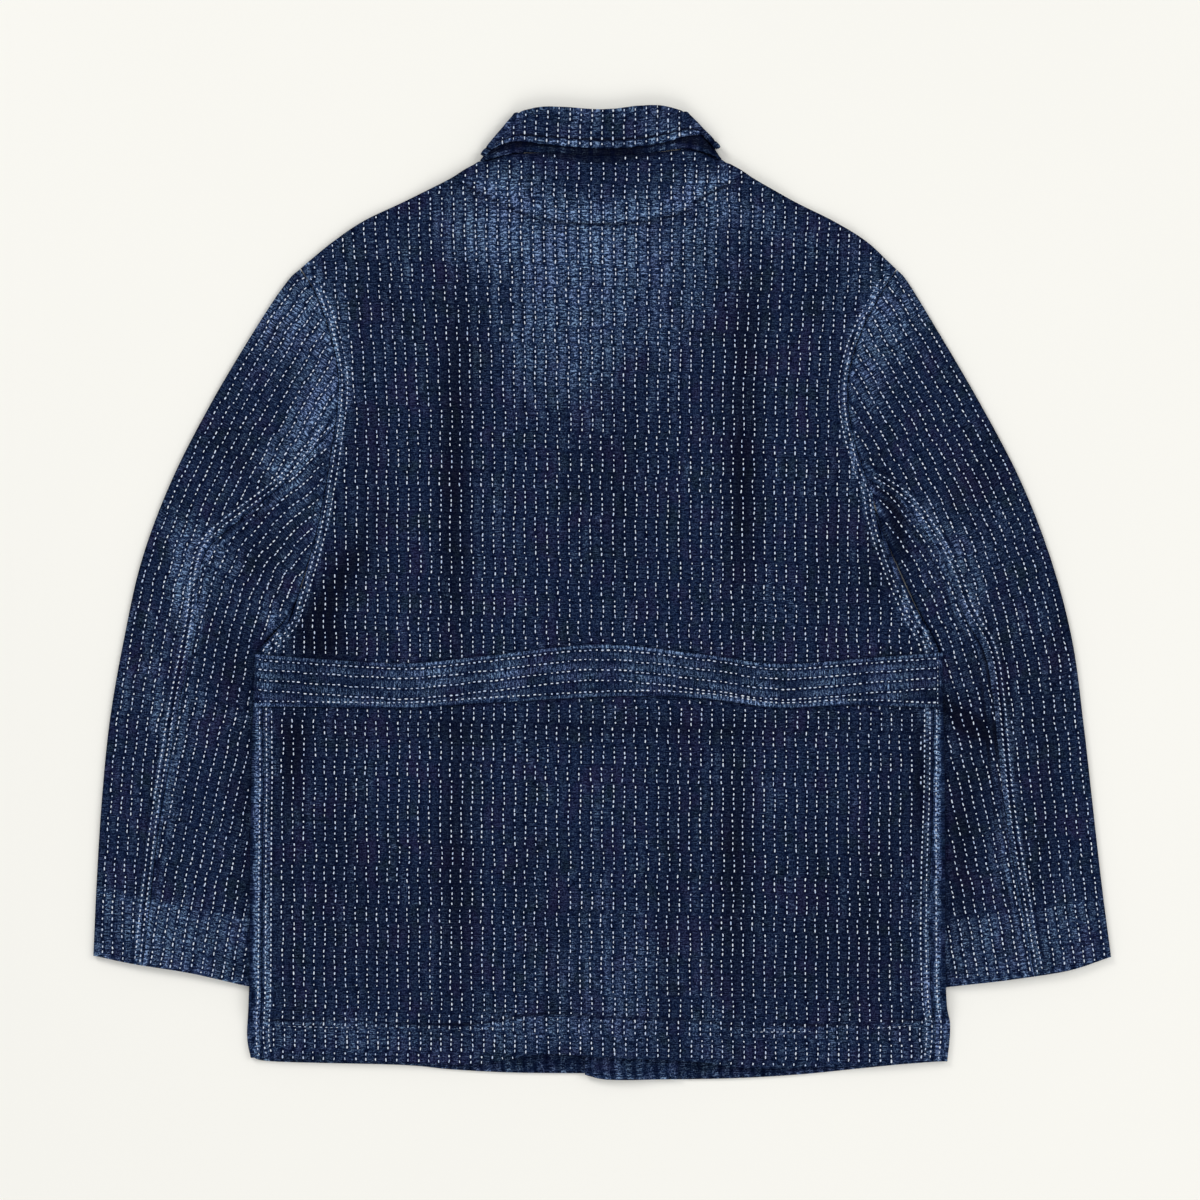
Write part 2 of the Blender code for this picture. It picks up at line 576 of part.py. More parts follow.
def sleeve_top(side, x, y, from_outer):
    """The lower face of a sleeve's top layer, which is its plain inner side."""
    beyond = side * (x - x_at(BODY[side], y))
    free = smooth(*SLEEVE_FREE, beyond)
    ease = free * (EASE + folds(SLEEVE_FOLDS[side], x, y)) + (1 - free) * armhole_ease(side, y)
    return CLOTH + EDGE_AIR + ease * smooth(0, SLEEVE_FADE, from_outer)


def sleeve_panels(side):
    """The two pieces of a flattened sleeve: the upper round its outer edge, the under round its inner."""
    shares = np.array(SLEEVE_ROWS)
    lines = {"outer": inset(curve(SLEEVE_OUTER[side]), side, EDGE),
             "inner": inset(INNERS[side], -side, EDGE)}
    ends = {"outer": at(lines["outer"], shares[:, 0]), "inner": at(lines["inner"], shares[:, 1])}
    meets = edge_points(side)[0][1 : len(ARMHOLE_ROWS[side]) - 1]
    corners = np.array([ARMHOLE[side][0], *meets, ARMHOLE[side][-1]])
    armhole = corners + (side * SEAM / 2, 0)
    reached = np.cumsum(np.linalg.norm(np.diff(corners, axis=0), axis=1))
    reached = reached[:-1] / reached[-1]
    cuff = curve(CUFF[side])
    down = shares.mean(axis=1)

    def first(u):
        line = at(armhole, u)
        from_start = (1 - u)[..., None] ** CORNER_POWER * (ends["outer"][0] - armhole[0])
        return line + from_start + u[..., None] ** CORNER_POWER * (ends["inner"][0] - armhole[-1])

    def last(u):
        line = at(cuff, u)
        from_start = (1 - u)[..., None] * (ends["outer"][-1] - cuff[0])
        return line + from_start + u[..., None] * (ends["inner"][-1] - cuff[-1])

    def plan(u):
        return between(ends["outer"], ends["inner"], first(u), last(u), u, down, BOW_FADE)

    def columns(low, high):
        """Shares between two columns: at the armhole they meet the body's points, and even out below it."""
        met = reached[(reached > low[0] + MET_MARGIN) & (reached < high[0] - MET_MARGIN)]
        even = low + (high - low) * np.linspace(0, 1, len(met) + 2)[1:-1]
        blend = smooth(0, MET_REACH, down)[:, None]
        return (1 - blend) * met + blend * even

    fine = np.repeat(np.linspace(0, 1, PLAN_STEPS)[None], len(shares), axis=0)
    rows = plan(fine)
    width = np.linalg.norm(np.diff(rows, axis=1), axis=2).sum(axis=1)[:, None]
    back_seam = seam_shares(rows, curve(SLEEVE_SEAM[side]))[:, None]
    under_seam = np.interp(down, [0, 1], UNDER_SEAM)[:, None]
    gap = SEAM / 2 / width
    rims = np.array(SEAM_RIMS) / width

    def layer(u, upper):
        points = plan(u)
        height = np.full(u.shape, CLOTH)
        if upper:
            height = sleeve_top(side, points[..., 0], points[..., 1], u * width)
        return np.dstack([points, height])

    def edge(name, u_end):
        flats = layer(u_end, False)[:, 0, 2]
        tangent = np.gradient(ends[name], axis=0)
        tangent /= np.linalg.norm(tangent, axis=1)[:, None]
        away = np.column_stack([-tangent[:, 1], tangent[:, 0]]) * side
        away = away if name == "outer" else -away
        return np.array([roll(ends[name][i], away[i], flats[i], 1, SLEEVE_TURN)
                         for i in range(len(flats))])

    zero = np.zeros_like(width)
    ridge = back_seam - gap - rims
    upper = np.concatenate([
        layer(np.hstack([ridge, columns(zero, ridge[:, -1:])[:, ::-1], zero]), True),
        edge("outer", zero),
        layer(np.hstack([zero, columns(zero, under_seam - gap), under_seam - gap]), False)], axis=1)
    beyond = back_seam + gap
    inner = columns(beyond, zero + 1)
    if inner.shape[1] < LEAST_COLUMNS:
        inner = beyond + (1 - beyond) * np.linspace(0, 1, LEAST_COLUMNS + 2)[1:-1]
    under = np.concatenate([
        layer(np.hstack([beyond, inner, zero + 1]), True),
        edge("inner", zero + 1),
        layer(np.hstack([zero + 1, columns(under_seam + gap, zero + 1)[:, ::-1],
                         under_seam + gap]), False)], axis=1)
    raised = [np.zeros(part.shape[:2]) for part in (upper, under)]
    raised[0][:, : len(SEAM_RIMS) - 1] = SEAM_RAISED
    for part, height in zip((upper, under), raised):
        beyond = side * (part[..., 0] - x_at(BODY[side], part[..., 1]))
        on_top = part[..., 2] > CLOTH + EDGE_AIR - 0.01
        cuff = np.arange(len(part))[:, None] >= len(part) - CUFF_ROWS
        height[cuff & on_top] = smooth(*CUFF_RAMP, beyond)[cuff & on_top]
    return upper, raised[0], under, raised[1]


def collar_band():
    """The collar: stand and leaf folded together, round the neck from one front end to the other."""
    stations = []
    for place, (stand, fold, leaf) in enumerate(COLLAR_FRONT[::-1]):
        stations.append((-1, -90, (-stand[0], stand[1]), (-fold[0], fold[1]), (-leaf[0], leaf[1])))
    stations += [(-1, angle, *COLLAR_TURN[-1]) for angle in TURN_ANGLES[::-1]]
    stations += [(0, 90, *points) for points in COLLAR_BACK]
    stations += [(1, angle, *COLLAR_TURN[1]) for angle in TURN_ANGLES]
    stations += [(1, -90, *points) for points in COLLAR_FRONT]
    half = (COLLAR_AIR + COLLAR_WALL) / 2
    front_level = NECK_LIFT + CLOTH / 2
    back_level = NECK_LIFT + 2 * CLOTH + EDGE_AIR - CLOTH / 2
    axis_level = (front_level + back_level) / 2
    axis_radius = (back_level - front_level) / 2 + half
    grid = []
    for side, angle, stand, fold, leaf in stations:
        tilt = math.radians(angle)
        sideways = math.cos(tilt)
        out = np.array([side * sideways, COLLAR_LEAN * abs(side) * sideways, math.sin(tilt)])
        out /= np.linalg.norm(out)
        ends = [np.array([*point, axis_level]) + axis_radius * out for point in (stand, fold, leaf)]
        up = ends[1] - ends[0]
        up /= np.linalg.norm(up)
        row = [ends[0] + share * (ends[1] - ends[0]) - out * COLLAR_AIR / 2
               for share in STAND_SHARES]
        for bend in np.linspace(-90, 90, COLLAR_BEND):
            turn = math.radians(bend)
            row.append(ends[1] + COLLAR_AIR / 2 * (math.sin(turn) * out + math.cos(turn) * up))
        row += [ends[1] + share * (ends[2] - ends[1]) + out * COLLAR_AIR / 2
                for share in LEAF_SHARES]
        grid.append(row)
    return np.array(grid)


def facing_strip(front):
    """The right front's turned-in edge, made from the front's own points and laid on it."""
    strip = front[TOP_ROWS:, -FACING_COLUMNS:].copy()
    strip = strip[strip[:, -1, 1] < FACING_TOP]
    strip[..., 2] += 2 * LAYER_GAP
    return strip


def belt_band(back, fronts):
    """The belt: made from the points of the back, and of the fronts' wraps at its ends, moved out."""
    columns = [fronts[-1][:, 2] + (BELT_ENDS[-1], 0, 0), fronts[-1][:, 2], fronts[-1][:, 1]]
    columns += [back[:, j] for j in (0, 3, *range(5, back.shape[1] - 5), -4, -1)]
    columns += [fronts[1][:, 1], fronts[1][:, 2], fronts[1][:, 2] + (BELT_ENDS[1], 0, 0)]
    top, foot = curve(BELT_TOP), curve(BELT_FOOT)
    grid = []
    for column in columns:
        column = column[TOP_ROWS:]
        x = np.interp(-BELT_LEVEL, -column[:, 1], column[:, 0])
        ends = y_at(top, x), y_at(foot, x)
        y = ends[0] + np.array(BELT_SHARES) * (ends[1] - ends[0])
        places = [np.interp(-y, -column[:, 1], column[:, k]) for k in (0, 2)]
        grid.append(np.column_stack([places[0], y, places[1] + CLOTH + BELT_AIR]))
    raised = np.tile(BELT_RAISED, (len(columns), 1))
    return np.array(grid), raised


def button(number, y, colour):
    """A turned button with a sunk face, which lies on the surface under the placket."""
    name = f"button_{number}"
    mesh = bpy.data.meshes.new(name)
    count = len(BUTTON_PROFILE)
    points = [(radius * MM, 0, height * MM) for radius, height in BUTTON_PROFILE]
    mesh.from_pydata(points, [(i, i + 1) for i in range(count - 1)], [])
    mesh.materials.append(colour)
    part = bpy.data.objects.new(name, mesh)
    part.location = (BUTTON_LINE * MM, y * MM, 0)
    garment.objects.link(part)
    turned = part.modifiers.new("Turned", "SCREW")
    turned.steps = BUTTON_STEPS
    turned.render_steps = BUTTON_STEPS
    turned.use_merge_vertices = True
    turned.merge_threshold = BUTTON_MERGE
    turned.use_smooth_shade = True
    return part


for old in list(bpy.data.objects):
    bpy.data.objects.remove(old, do_unlink=True)
garment = bpy.data.collections.new("stitched_work_jacket")
bpy.context.scene.collection.children.link(garment)

body_cloth = paint("body_cloth", (0.012, 0.018, 0.045), 0.9)
sleeve_cloth = paint("sleeve_cloth", (0.014, 0.021, 0.050), 0.9)
collar_cloth = paint("collar_cloth", (0.024, 0.040, 0.091), 0.9)
belt_cloth = paint("belt_cloth", (0.014, 0.023, 0.060), 0.9)
button_horn = paint("button_horn", (0.030, 0.022, 0.018), 0.4)

UP, DOWN = (0, 0, 1), (0, 0, -1)
back_grid, back_raised = back_panel()
cloth("back", back_grid, UP, body_cloth, raised=back_raised)
fronts = {}
for side, word in ((-1, "left"), (1, "right")):
    fronts[side], front_raised = front_panel(side)
    cloth(f"front_{word}", fronts[side], DOWN, body_cloth, raised=front_raised)
    upper, upper_raised, under, under_raised = sleeve_panels(side)
    cloth(f"sleeve_{word}_upper", upper, (side, 0, 0), sleeve_cloth, raised=upper_raised)
    cloth(f"sleeve_{word}_under", under, (-side, 0, 0), sleeve_cloth, raised=under_raised)
cloth("front_facing_right", facing_strip(fronts[1]), UP, body_cloth)
belt_grid, belt_raised = belt_band(back_grid, fronts)
cloth("back_belt", belt_grid, UP, belt_cloth, raised=belt_raised)
cloth("collar", collar_band(), (0, 1, 0), collar_cloth, COLLAR_WALL)
for number, place in enumerate(BUTTON_PLACES, 1):
    button(number, place, button_horn)
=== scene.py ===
"""Looks of the sashiko-stitched indigo work jacket, laid face down on a pale floor.

Every panel is a thin shell on its solid's form, made from the same tables and height functions as the solid
but with its columns along the rows of stitches. Lengths are in millimetres until a mesh is made. A side of
-1 is the wearer's left and 1 the right.
"""

import math

import bpy
import numpy as np
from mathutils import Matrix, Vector


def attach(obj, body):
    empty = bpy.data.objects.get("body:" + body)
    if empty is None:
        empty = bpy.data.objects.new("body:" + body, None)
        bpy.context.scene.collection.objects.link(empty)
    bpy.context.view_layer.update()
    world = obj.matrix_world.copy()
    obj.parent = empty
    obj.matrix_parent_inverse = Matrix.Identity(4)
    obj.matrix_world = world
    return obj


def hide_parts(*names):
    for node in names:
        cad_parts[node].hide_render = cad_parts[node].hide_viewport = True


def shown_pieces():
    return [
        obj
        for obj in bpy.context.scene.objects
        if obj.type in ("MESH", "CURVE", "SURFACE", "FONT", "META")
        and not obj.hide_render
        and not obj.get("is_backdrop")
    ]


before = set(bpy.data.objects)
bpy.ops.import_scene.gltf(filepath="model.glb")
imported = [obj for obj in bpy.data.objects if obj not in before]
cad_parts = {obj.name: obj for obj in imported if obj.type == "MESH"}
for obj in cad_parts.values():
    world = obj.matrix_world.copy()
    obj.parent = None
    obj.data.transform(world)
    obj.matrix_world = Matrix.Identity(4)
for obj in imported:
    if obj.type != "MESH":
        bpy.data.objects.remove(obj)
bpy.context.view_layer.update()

MM = 0.001

# Cloth, the spaces between its layers and its lifts, as in the solids
CLOTH = 1.6
SEAM = 0.4
LAYER_GAP = 0.3
EDGE_AIR = 1.2
INNER_ROLL = EDGE_AIR / 2
EDGE = INNER_ROLL + CLOTH
TUCK_LIFT = 2 * EDGE + 0.5
COLLAR_WALL = 2.2
COLLAR_AIR = 0.6
NECK_LIFT = 3.1
LEAF_MORE = 2.0
RAISED = 0.7
BELT_AIR = 0.5
BUTTON_LINE = 3.0
EASE = 1.3
FOLD_LOW = -1.5
FOLD_HIGH = 1.1

# How soon a sleeve's end leaves the corner of the armhole
CORNER_POWER = 24

# Stitching: the distance between rows, the cloth's columns, where the rows start, how much later each
# row starts per millimetre across, and how deep the cloth is drawn in under a row
PITCH = 8.45
COLUMN = PITCH / 3
ROWS_TOP = 372.0
ROW_SLIP = 0.027
FURROW = 0.42

# The two rows of thread in a seam ridge and the grooves under them, by their distance from its edge, their
# stitches' length, how far the cloth's own rows keep from the edge, and the height of stitches below
RIDGE_ROWS = (2.6, 7.0)
RIDGE_GROOVES = (2.4, 7.0)
RIDGE_STITCH = 2.6
RIDGE_CLEAR = 9.6
LOW_STITCH = 0.3

# The heights above the edge of the hem's thread and the top of its band, and of the cuff's groove
HEM_ROW = 31.2
HEM_BAND = 34.0
CUFF_ROW = 48.8

# The distance between the cloth's pale ribs, in metres
RIB_PITCH = 0.0037

# The floor: half its side and how far it lies below the jacket, in metres
FLOOR_HALF = 3.0
FLOOR_DROP = 0.0004

# The collar's grid: columns in its stand and round its fold, and how much wider apart its rows are
STAND_COLUMNS = 12
FOLD_COLUMNS = 9
LEAF_START = STAND_COLUMNS + FOLD_COLUMNS
COLLAR_STRETCH = 1.06

# Rows of points down the back and down a front, how far across their columns are tried, and the least
# distance of a column from a rim
BACK_ROWS = 244
FRONT_ROWS = 186
HALF_WIDTH = 300
RIM_GAP = 1.4

# The columns of a front where it lies turned over on the back, as shares of its reach
TURN_STEPS = np.array([1.0, 0.86, 0.7, 0.45, 0.2])

# A panel's columns within a rim, by their distance from its edge
BACK_RIM = np.array([0, 0.9, 1.9, 3.2, 5.2, 7.0, 8.3, 9.3, 10.4, 12.2])
SLEEVE_RIM = np.array([0, 0.9, 1.9, 3.2, 5.2, 7.0, 8.2, 9.4, 11.0])
UNDER_RIM = np.array([0, 0.9, 1.9, 3.2, 4.8])
FRONT_RIM = np.array([1.2, 2.6, 4.4, 7.4])
LEAF_RIM = np.array([8.2, 7.0, 6.2, 5.2, 4.0, 2.4, 1.0, 0])
BELT_COLUMNS = np.array([0, 0.02, 0.045, 0.075, 0.10, 0.125, 0.16, 0.22, 0.28, 0.34, 0.4, 0.46, 0.54, 0.6,
                         0.66, 0.72, 0.78, 0.84, 0.875, 0.9, 0.925, 0.955, 0.98, 1])

# The outline and the seams as the photo shows them from above, for each side
SHOULDER = {
    -1: [(-103.7, 348.3), (-112.6, 343.4), (-125.6, 335.3), (-158.8, 319.1), (-192.8, 302.9),
         (-217, 286.7), (-236, 271.5), (-244.6, 264)],
    1: [(101.5, 350), (113.4, 343.4), (125.6, 335.3), (154.7, 319.1), (187.1, 302.9),
        (213.8, 286.7), (230.5, 271.5), (239, 263.3)],
}
ARMHOLE = {
    -1: [(-244.6, 264), (-232.5, 244.6), (-221, 213.8), (-214.2, 183), (-213.8, 157),
         (-218, 124.7), (-223.6, 88.3), (-231.7, 47.8), (-244.6, 3)],
    1: [(239, 263.3), (226.8, 244.6), (211.4, 215.5), (201.5, 186.3), (199, 163.6),
        (201, 141), (206, 119), (212, 100), (219.5, 81)],
}
SIDE = {
    -1: [(-244.6, 3), (-256.5, -21), (-269.5, -37), (-278.5, -48), (-282, -75),
         (-283.5, -118.3), (-285.1, -207.4), (-285.9, -316.7), (-288, -357.2), (-285.1, -376)],
    1: [(219.5, 81), (226.5, 55), (238, 25), (256, -14.6), (272.2, -45.4),
        (276.2, -85.9), (277.8, -166.9), (278.6, -316.7), (282.5, -350), (280.3, -379)],
}
SLEEVE_OUTER = {
    -1: [(-244.6, 264), (-255.2, 253.8), (-277, 221.9), (-315.9, 157.1), (-349.1, 92.3),
         (-373.4, 27.5), (-388, -37.3), (-399.3, -102.1), (-405.8, -166.9), (-409.9, -231.7),
         (-412.7, -293.5)],
    1: [(239, 263.3), (247.5, 254), (267.3, 221.9), (305.4, 157.1), (339.4, 92.3),
        (364.5, 27.5), (381.5, -37.3), (390.4, -102.1), (397.7, -166.9), (405, -231.7),
        (413.1, -294.5)],
}
SLEEVE_INNER = {
    -1: [(-245.8, 3.5), (-257.6, -20.4), (-270.5, -36.2), (-277.5, -50), (-273, -72),
         (-262, -98), (-252, -130), (-247.5, -170), (-248.5, -225), (-254, -280),
         (-260.8, -322.4)],
    1: [(220.4, 81.9), (227.4, 55.3), (238.9, 25.4), (256.9, -14.2), (273, -46.2),
        (272, -68), (263, -92), (254.5, -124), (250.5, -168), (252, -225),
        (256.5, -280), (261.6, -320.8)],
}
CUFF = {
    -1: [(-412.7, -293.5), (-382.3, -299.7), (-333.7, -307.5), (-285.9, -318.3), (-260.8, -322.4)],
    1: [(413.1, -294.5), (379.1, -305.2), (331.3, -312.7), (298, -316.7), (261.6, -320.8)],
}
SLEEVE_SEAM = {
    -1: [(-216, 137), (-236.5, 114), (-260, 87.5), (-310, 48.6), (-326, 25),
         (-331, -23.5), (-343.4, -88), (-352.4, -146), (-359.6, -192), (-372.6, -305)],
    1: [(215, 95), (245.4, 74.5), (270.5, 42), (285, 13), (294.8, -14.6), (312, -45),
        (319, -85), (328, -175), (337, -232.5), (351, -312)],
}
BACK_NECK = [(-100.4, 350.4), (-93, 350.8), (-84, 353.5), (-72, 356.2), (-45, 357.4),
             (-22, 356), (0, 355.4), (22, 356), (45, 358), (70, 360), (82, 356.8),
             (91.5, 352.2), (98.2, 352)]
FRONT_NECK = {
    -1: [(-100.4, 348.6), (-93, 320), (-71, 292), (-38, 278), (-2.5, 275), (20, 276.5)],
    1: [(98.2, 350.2), (91, 320), (70, 292), (38, 278), (2.5, 275), (-13.8, 276.5)],
}
BACK_HEM = [(-285.1, -376), (-265, -381), (-164, -383.5), (-115, -385), (-91, -383),
            (-58, -377), (-34, -375), (-2, -377.5), (63, -380), (88, -382),
            (104, -385.5), (150, -386), (209, -384), (280.3, -379)]
FRONT_HEM = {
    -1: [(-285.1, -376), (-265, -380), (-164, -382.5), (-123, -386), (-74.5, -388.5),
         (-14, -389), (20, -389)],
    1: [(280.3, -379), (241, -382), (201, -386), (160, -390), (108, -393),
        (50, -394), (5, -394), (-13.8, -390)],
}
# How far a front reaches over the body's edge onto the back, by height
WRAP = {
    -1: [(-11, 3.2), (-26, 5), (-90, 8), (-150, 10), (-376, 10.5)],
    1: [(40, 3.2), (12, 5), (-30, 6.5), (-170, 10), (-250, 13.5), (-379, 11.5)],
}
# The facing: its sides, its top, where it starts to follow the hem, and its foot
FACING_EDGES = (62, -13.8)
FACING_TOP = 236.0
FACING_TURN = -333.0
FACING_FOOT = -392.5

# Where a sleeve's tucked inner edge lifts the body, from top to foot
TUCK_START = {-1: 0, 1: 20.0}
TUCK_FULL = -40.0
TUCK_LEAVE = -326.0
TUCK_END = -352.0
# The heights at which the solids' rows of points meet the outline, and a sleeve's rows as shares of its edges
ARMHOLE_ROWS = {
    -1: (262.2, 246, 222, 192, 160, 126, 92, 58, 28, 3),
    1: (261.5, 244, 216, 188, 160, 132, 106, 81),
}
SIDE_ROWS = {
    -1: (-11, -26, -42, -62, -96, -146, -200, -262, -326, -340.5, -343.5, -360,
         -376),
    1: (66, 40, 12, -18, -44, -68, -104, -160, -220, -280, -328, -343.5, -346.5,
        -362, -379),
}
SLEEVE_ROWS = [(0.0015, 0), (0.035, 0.04), (0.085, 0.10), (0.155, 0.18), (0.235, 0.27), (0.32, 0.36),
               (0.405, 0.45), (0.49, 0.54), (0.58, 0.63), (0.67, 0.71), (0.76, 0.78), (0.84, 0.835),
               (0.914, 0.848), (0.919, 0.857), (1, 1)]
# The seam on the underside of a sleeve, as a share of its width, at the armhole and at the cuff
UNDER_SEAM = (0.66, 0.72)
# How far the sleeve's inner edge bulges to the body at the armpit, its height and half width
ARMPIT = {-1: (2.5, -6, 22), 1: (1.4, 56, 24)}
# The rows beyond a panel's first: angles of the roll along the shoulder, steps along the neck
TOP_ANGLES = (20, 40, 60, 80)
TOP_STEPS = (0.5, 1, 1.5, 2)
BELT_TOP = [(-279, -48.5), (-265.7, -50), (-190, -55), (-150, -56), (-91.5, -50),
            (-1.6, -41), (85, -49.4), (143.4, -56.7), (215.5, -51.8), (272.6, -47.5)]
BELT_FOOT = [(-280.3, -92), (-271, -91), (-164, -92.3), (-92, -88.3), (14.6, -82.6),
             (85, -85), (143.4, -92.3), (201, -90), (274, -92.3)]
BELT_ENDS = (-281, 275.6)
BELT_ROWS = (4.4, 12.2, 20.4, 28.8)

# Soft folds that the solids have: start, end, half width, height
BACK_FOLDS = [
    ((-107, 180), (-104, -20), 26, -1),
    ((-104, -100), (-112, -330), 26, -1),
    ((104, 170), (106, -30), 24, -1),
    ((108, -100), (104, -330), 26, -1),
    ((-176, 230), (-204, 60), 20, -0.9),
    ((-204, 60), (-244, -60), 16, -0.9),
    ((-150, 300), (-186, 262), 16, -0.8),
    ((165, 235), (214, 262), 14, -0.8),
    ((-60, 250), (-55, 60), 30, 1.1),
    ((40, 260), (45, 60), 34, 1.1),
    ((-160, 120), (-160, -20), 22, 0.8),
    ((160, 150), (165, -20), 26, 0.9),
    ((-170, -120), (-185, -330), 30, 0.9),
    ((-20, -120), (-20, -360), 40, 1),
    ((185, -120), (190, -330), 34, 0.9),
]
SLEEVE_FOLDS = {
    -1: [((-232, 214), (-300, 150), 16, 0.8), ((-300, 60), (-350, -20), 20, 1.1),
         ((-250, 60), (-310, -10), 14, -1), ((-345, 30), (-352, -60), 16, -0.9),
         ((-300, -90), (-330, -250), 22, 0.8), ((-380, -60), (-392, -220), 14, 0.7)],
    1: [((230, 210), (300, 130), 18, 0.8), ((236, 96), (262, 20), 12, -1.3),
        ((300, 40), (335, -40), 20, 1.1), ((276, -80), (312, -112), 10, -1.2),
        ((320, -60), (345, -230), 22, 0.8), ((370, -60), (385, -220), 16, -0.7)],
}

# Smaller creases that lie on those folds
BACK_CREASES = [
    ((-226, 70), (-258, -14), 7, 1.1), ((-176, 46), (-214, -40), 10, 1.2),
    ((-168, 236), (-196, 150), 7, 0.6), ((-216, 160), (-236, 143), 4, 0.7),
    ((196, 150), (206, 60), 8, 0.9), ((178, 110), (216, 20), 9, 0.8),
    ((-130, -10), (-120, -46), 8, 0.5), ((136, -10), (128, -44), 8, 0.5),
    ((-252, -22), (-266, -44), 4, 0.9), ((-60, -96), (-72, -170), 12, 0.5),
    ((66, -96), (74, -180), 12, 0.5), ((-236, -110), (-244, -190), 8, 0.7),
    ((232, -110), (238, -190), 8, 0.7), ((-140, 318), (-120, 262), 9, 0.6),
    ((138, 318), (120, 262), 9, 0.6), ((0, 292), (4, 210), 12, 0.4),
    ((-40, -330), (-46, -372), 9, 0.5), ((60, -330), (66, -374), 9, 0.5),
]
SLEEVE_CREASES = {
    -1: [((-318, 62), (-352, 20), 6, 1.1), ((-336, 20), (-362, -16), 7, 1),
         ((-322, 6), (-296, -24), 6, 0.9), ((-330, -14), (-306, -58), 6, 0.9),
         ((-262, 96), (-292, 78), 5, 0.8), ((-240, 120), (-262, 116), 5, 0.7),
         ((-250, 24), (-284, 4), 6, 0.8), ((-276, -24), (-300, -40), 5, 0.7),
         ((-252, 226), (-280, 190), 8, 0.6), ((-340, -120), (-356, -190), 9, 0.6),
         ((-286, -150), (-300, -240), 11, 0.6), ((-386, -90), (-396, -180), 7, 0.5)],
    1: [((276, 60), (304, 34), 6, 1), ((288, 22), (320, -4), 6, 1.1), ((300, -14), (330, -44), 6, 1),
        ((262, 70), (250, 30), 6, 1.1), ((300, -84), (270, -104), 6, 1.2), ((320, -106), (286, -122), 6, 0.9),
        ((238, 148), (262, 120), 6, 0.7), ((246, 236), (286, 186), 8, 0.6),
        ((330, -150), (344, -220), 9, 0.6), ((284, -150), (296, -240), 11, 0.6),
        ((378, -80), (388, -180), 7, 0.5)],
}

# The collar: for each station the ends of its stand, its top fold and its leaf, seen from above
COLLAR_BACK = [
    ((-90, 353.4), (-62, 389.5), (-89, 360)),
    ((-68, 358.6), (-47, 392.3), (-70, 367.5)),
    ((-45, 358.3), (-31, 392), (-47, 366)),
    ((-22, 356.8), (-15, 390.8), (-23, 363.8)),
    ((0, 356.2), (0, 390), (0, 362.8)),
    ((22, 356.8), (15, 391.3), (23, 363.6)),
    ((45, 359.2), (31, 393), (47, 366.8)),
    ((68, 361.9), (47, 393.3), (69, 371.8)),
    ((88, 356.8), (62, 390), (86, 370.5)),
]
COLLAR_TURN = {-1: ((-95.6, 351.9), (-67, 387.2), (-94.2, 354.6)),
               1: ((93.6, 353.2), (65.5, 388), (92, 360.5))}
TURN_ANGLES = (90, 45, 0, -45, -90)
COLLAR_FRONT = [
    ((92.5, 341), (66, 378), (104, 340)),
    ((87, 322), (65, 350), (110, 312)),
    ((75, 303), (57, 329), (104, 279)),
    ((58, 290), (45, 314), (88, 249)),
    ((36, 281.5), (28, 304), (68, 227)),
    ((2.6, 278.5), (2.6, 297), (49, 213)),
]

# The half-moon crease under the neck, where an inner lining ends
HALF_MOON = [(-115, 333), (-80, 316.7), (-60, 307), (-34, 301.6), (-8, 299.7), (27.5, 301.3),
             (64.8, 308.6), (81.8, 322.4), (108.5, 334.5)]

# A row in the middle of each sleeve's under panel: the others keep their distance from it
UNDER_ROW = {
    -1: [(-190, 126), (-236, 84), (-262, 62), (-288, 30), (-304, -10), (-314, -50),
         (-322, -90), (-336, -150), (-352, -220), (-366, -290), (-376, -350)],
    1: [(176, 110), (214, 74), (236, 50), (254, 22), (272, -14), (286, -50),
        (298, -90), (314, -150), (330, -220), (344, -290), (352, -350)],
}

# One repeat of the stitching: sideways step of the block, pitch, and lengths in even and in odd rows
BLOCKS = [
    (0.0, 4.5, (2.0, 2.6, 3.2, 3.7), (3.4, 3.2, 2.4, 1.7)),
    (1.3, 4.1, (1.8, 2.4, 2.8, 3.2), (2.6, 3.2, 2.8, 2.0)),
    (-0.5, 4.6, (2.0, 3.0, 3.6), (3.6, 3.0, 2.2)),
    (0.9, 4.2, (2.2, 2.8, 3.4, 2.6), (1.8, 2.4, 3.2, 3.4)),
    (-0.8, 4.4, (2.8, 3.4, 3.6), (2.0, 2.8, 3.4)),
    (0.6, 4.0, (2.0, 2.4, 2.8, 3.2, 2.4), (3.0, 2.6, 2.4, 2.8, 3.2)),
    (-0.3, 4.3, (3.4, 2.8, 2.4), (2.2, 3.0, 3.6)),
]
BLOCK_GAP = 1.0
ROWS_START = -30.0
BLOCK_ENDS = np.cumsum([pitch * len(even) + BLOCK_GAP for _, pitch, even, _ in BLOCKS])


def smooth(low, high, value):
    """0 at low, 1 at high, and an even S between them; low may be the greater."""
    share = np.clip((np.asarray(value, float) - low) / (high - low), 0, 1)
    return share * share * (3 - 2 * share)


def hump(value, centre, width):
    """1 at the centre, and falling off to both sides over this width."""
    return np.exp(-(((value - centre) / width) ** 2))


def unit(vectors):
    """The vectors at length 1."""
    return vectors / np.linalg.norm(vectors, axis=-1, keepdims=True)


def across_of(vectors):
    """Flat vectors a quarter turn to the left of these."""
    return np.stack([-vectors[..., 1], vectors[..., 0]], axis=-1)


def curve(points, steps=16):
    """A smooth curve through the points, as closely spaced points."""
    p = np.asarray(points, float)
    p = np.vstack([2 * p[0] - p[1], p, 2 * p[-1] - p[-2]])
    t = np.linspace(0, 1, steps, endpoint=False)[:, None]
    pieces = []
    for a, b, c, d in zip(p[:-3], p[1:-2], p[2:-1], p[3:]):
        pieces.append(0.5 * (2 * b + (c - a) * t + (2 * a - 5 * b + 4 * c - d) * t**2
                             + (3 * b - a - 3 * c + d) * t**3))
    pieces.append(p[-2:-1])
    return np.vstack(pieces)


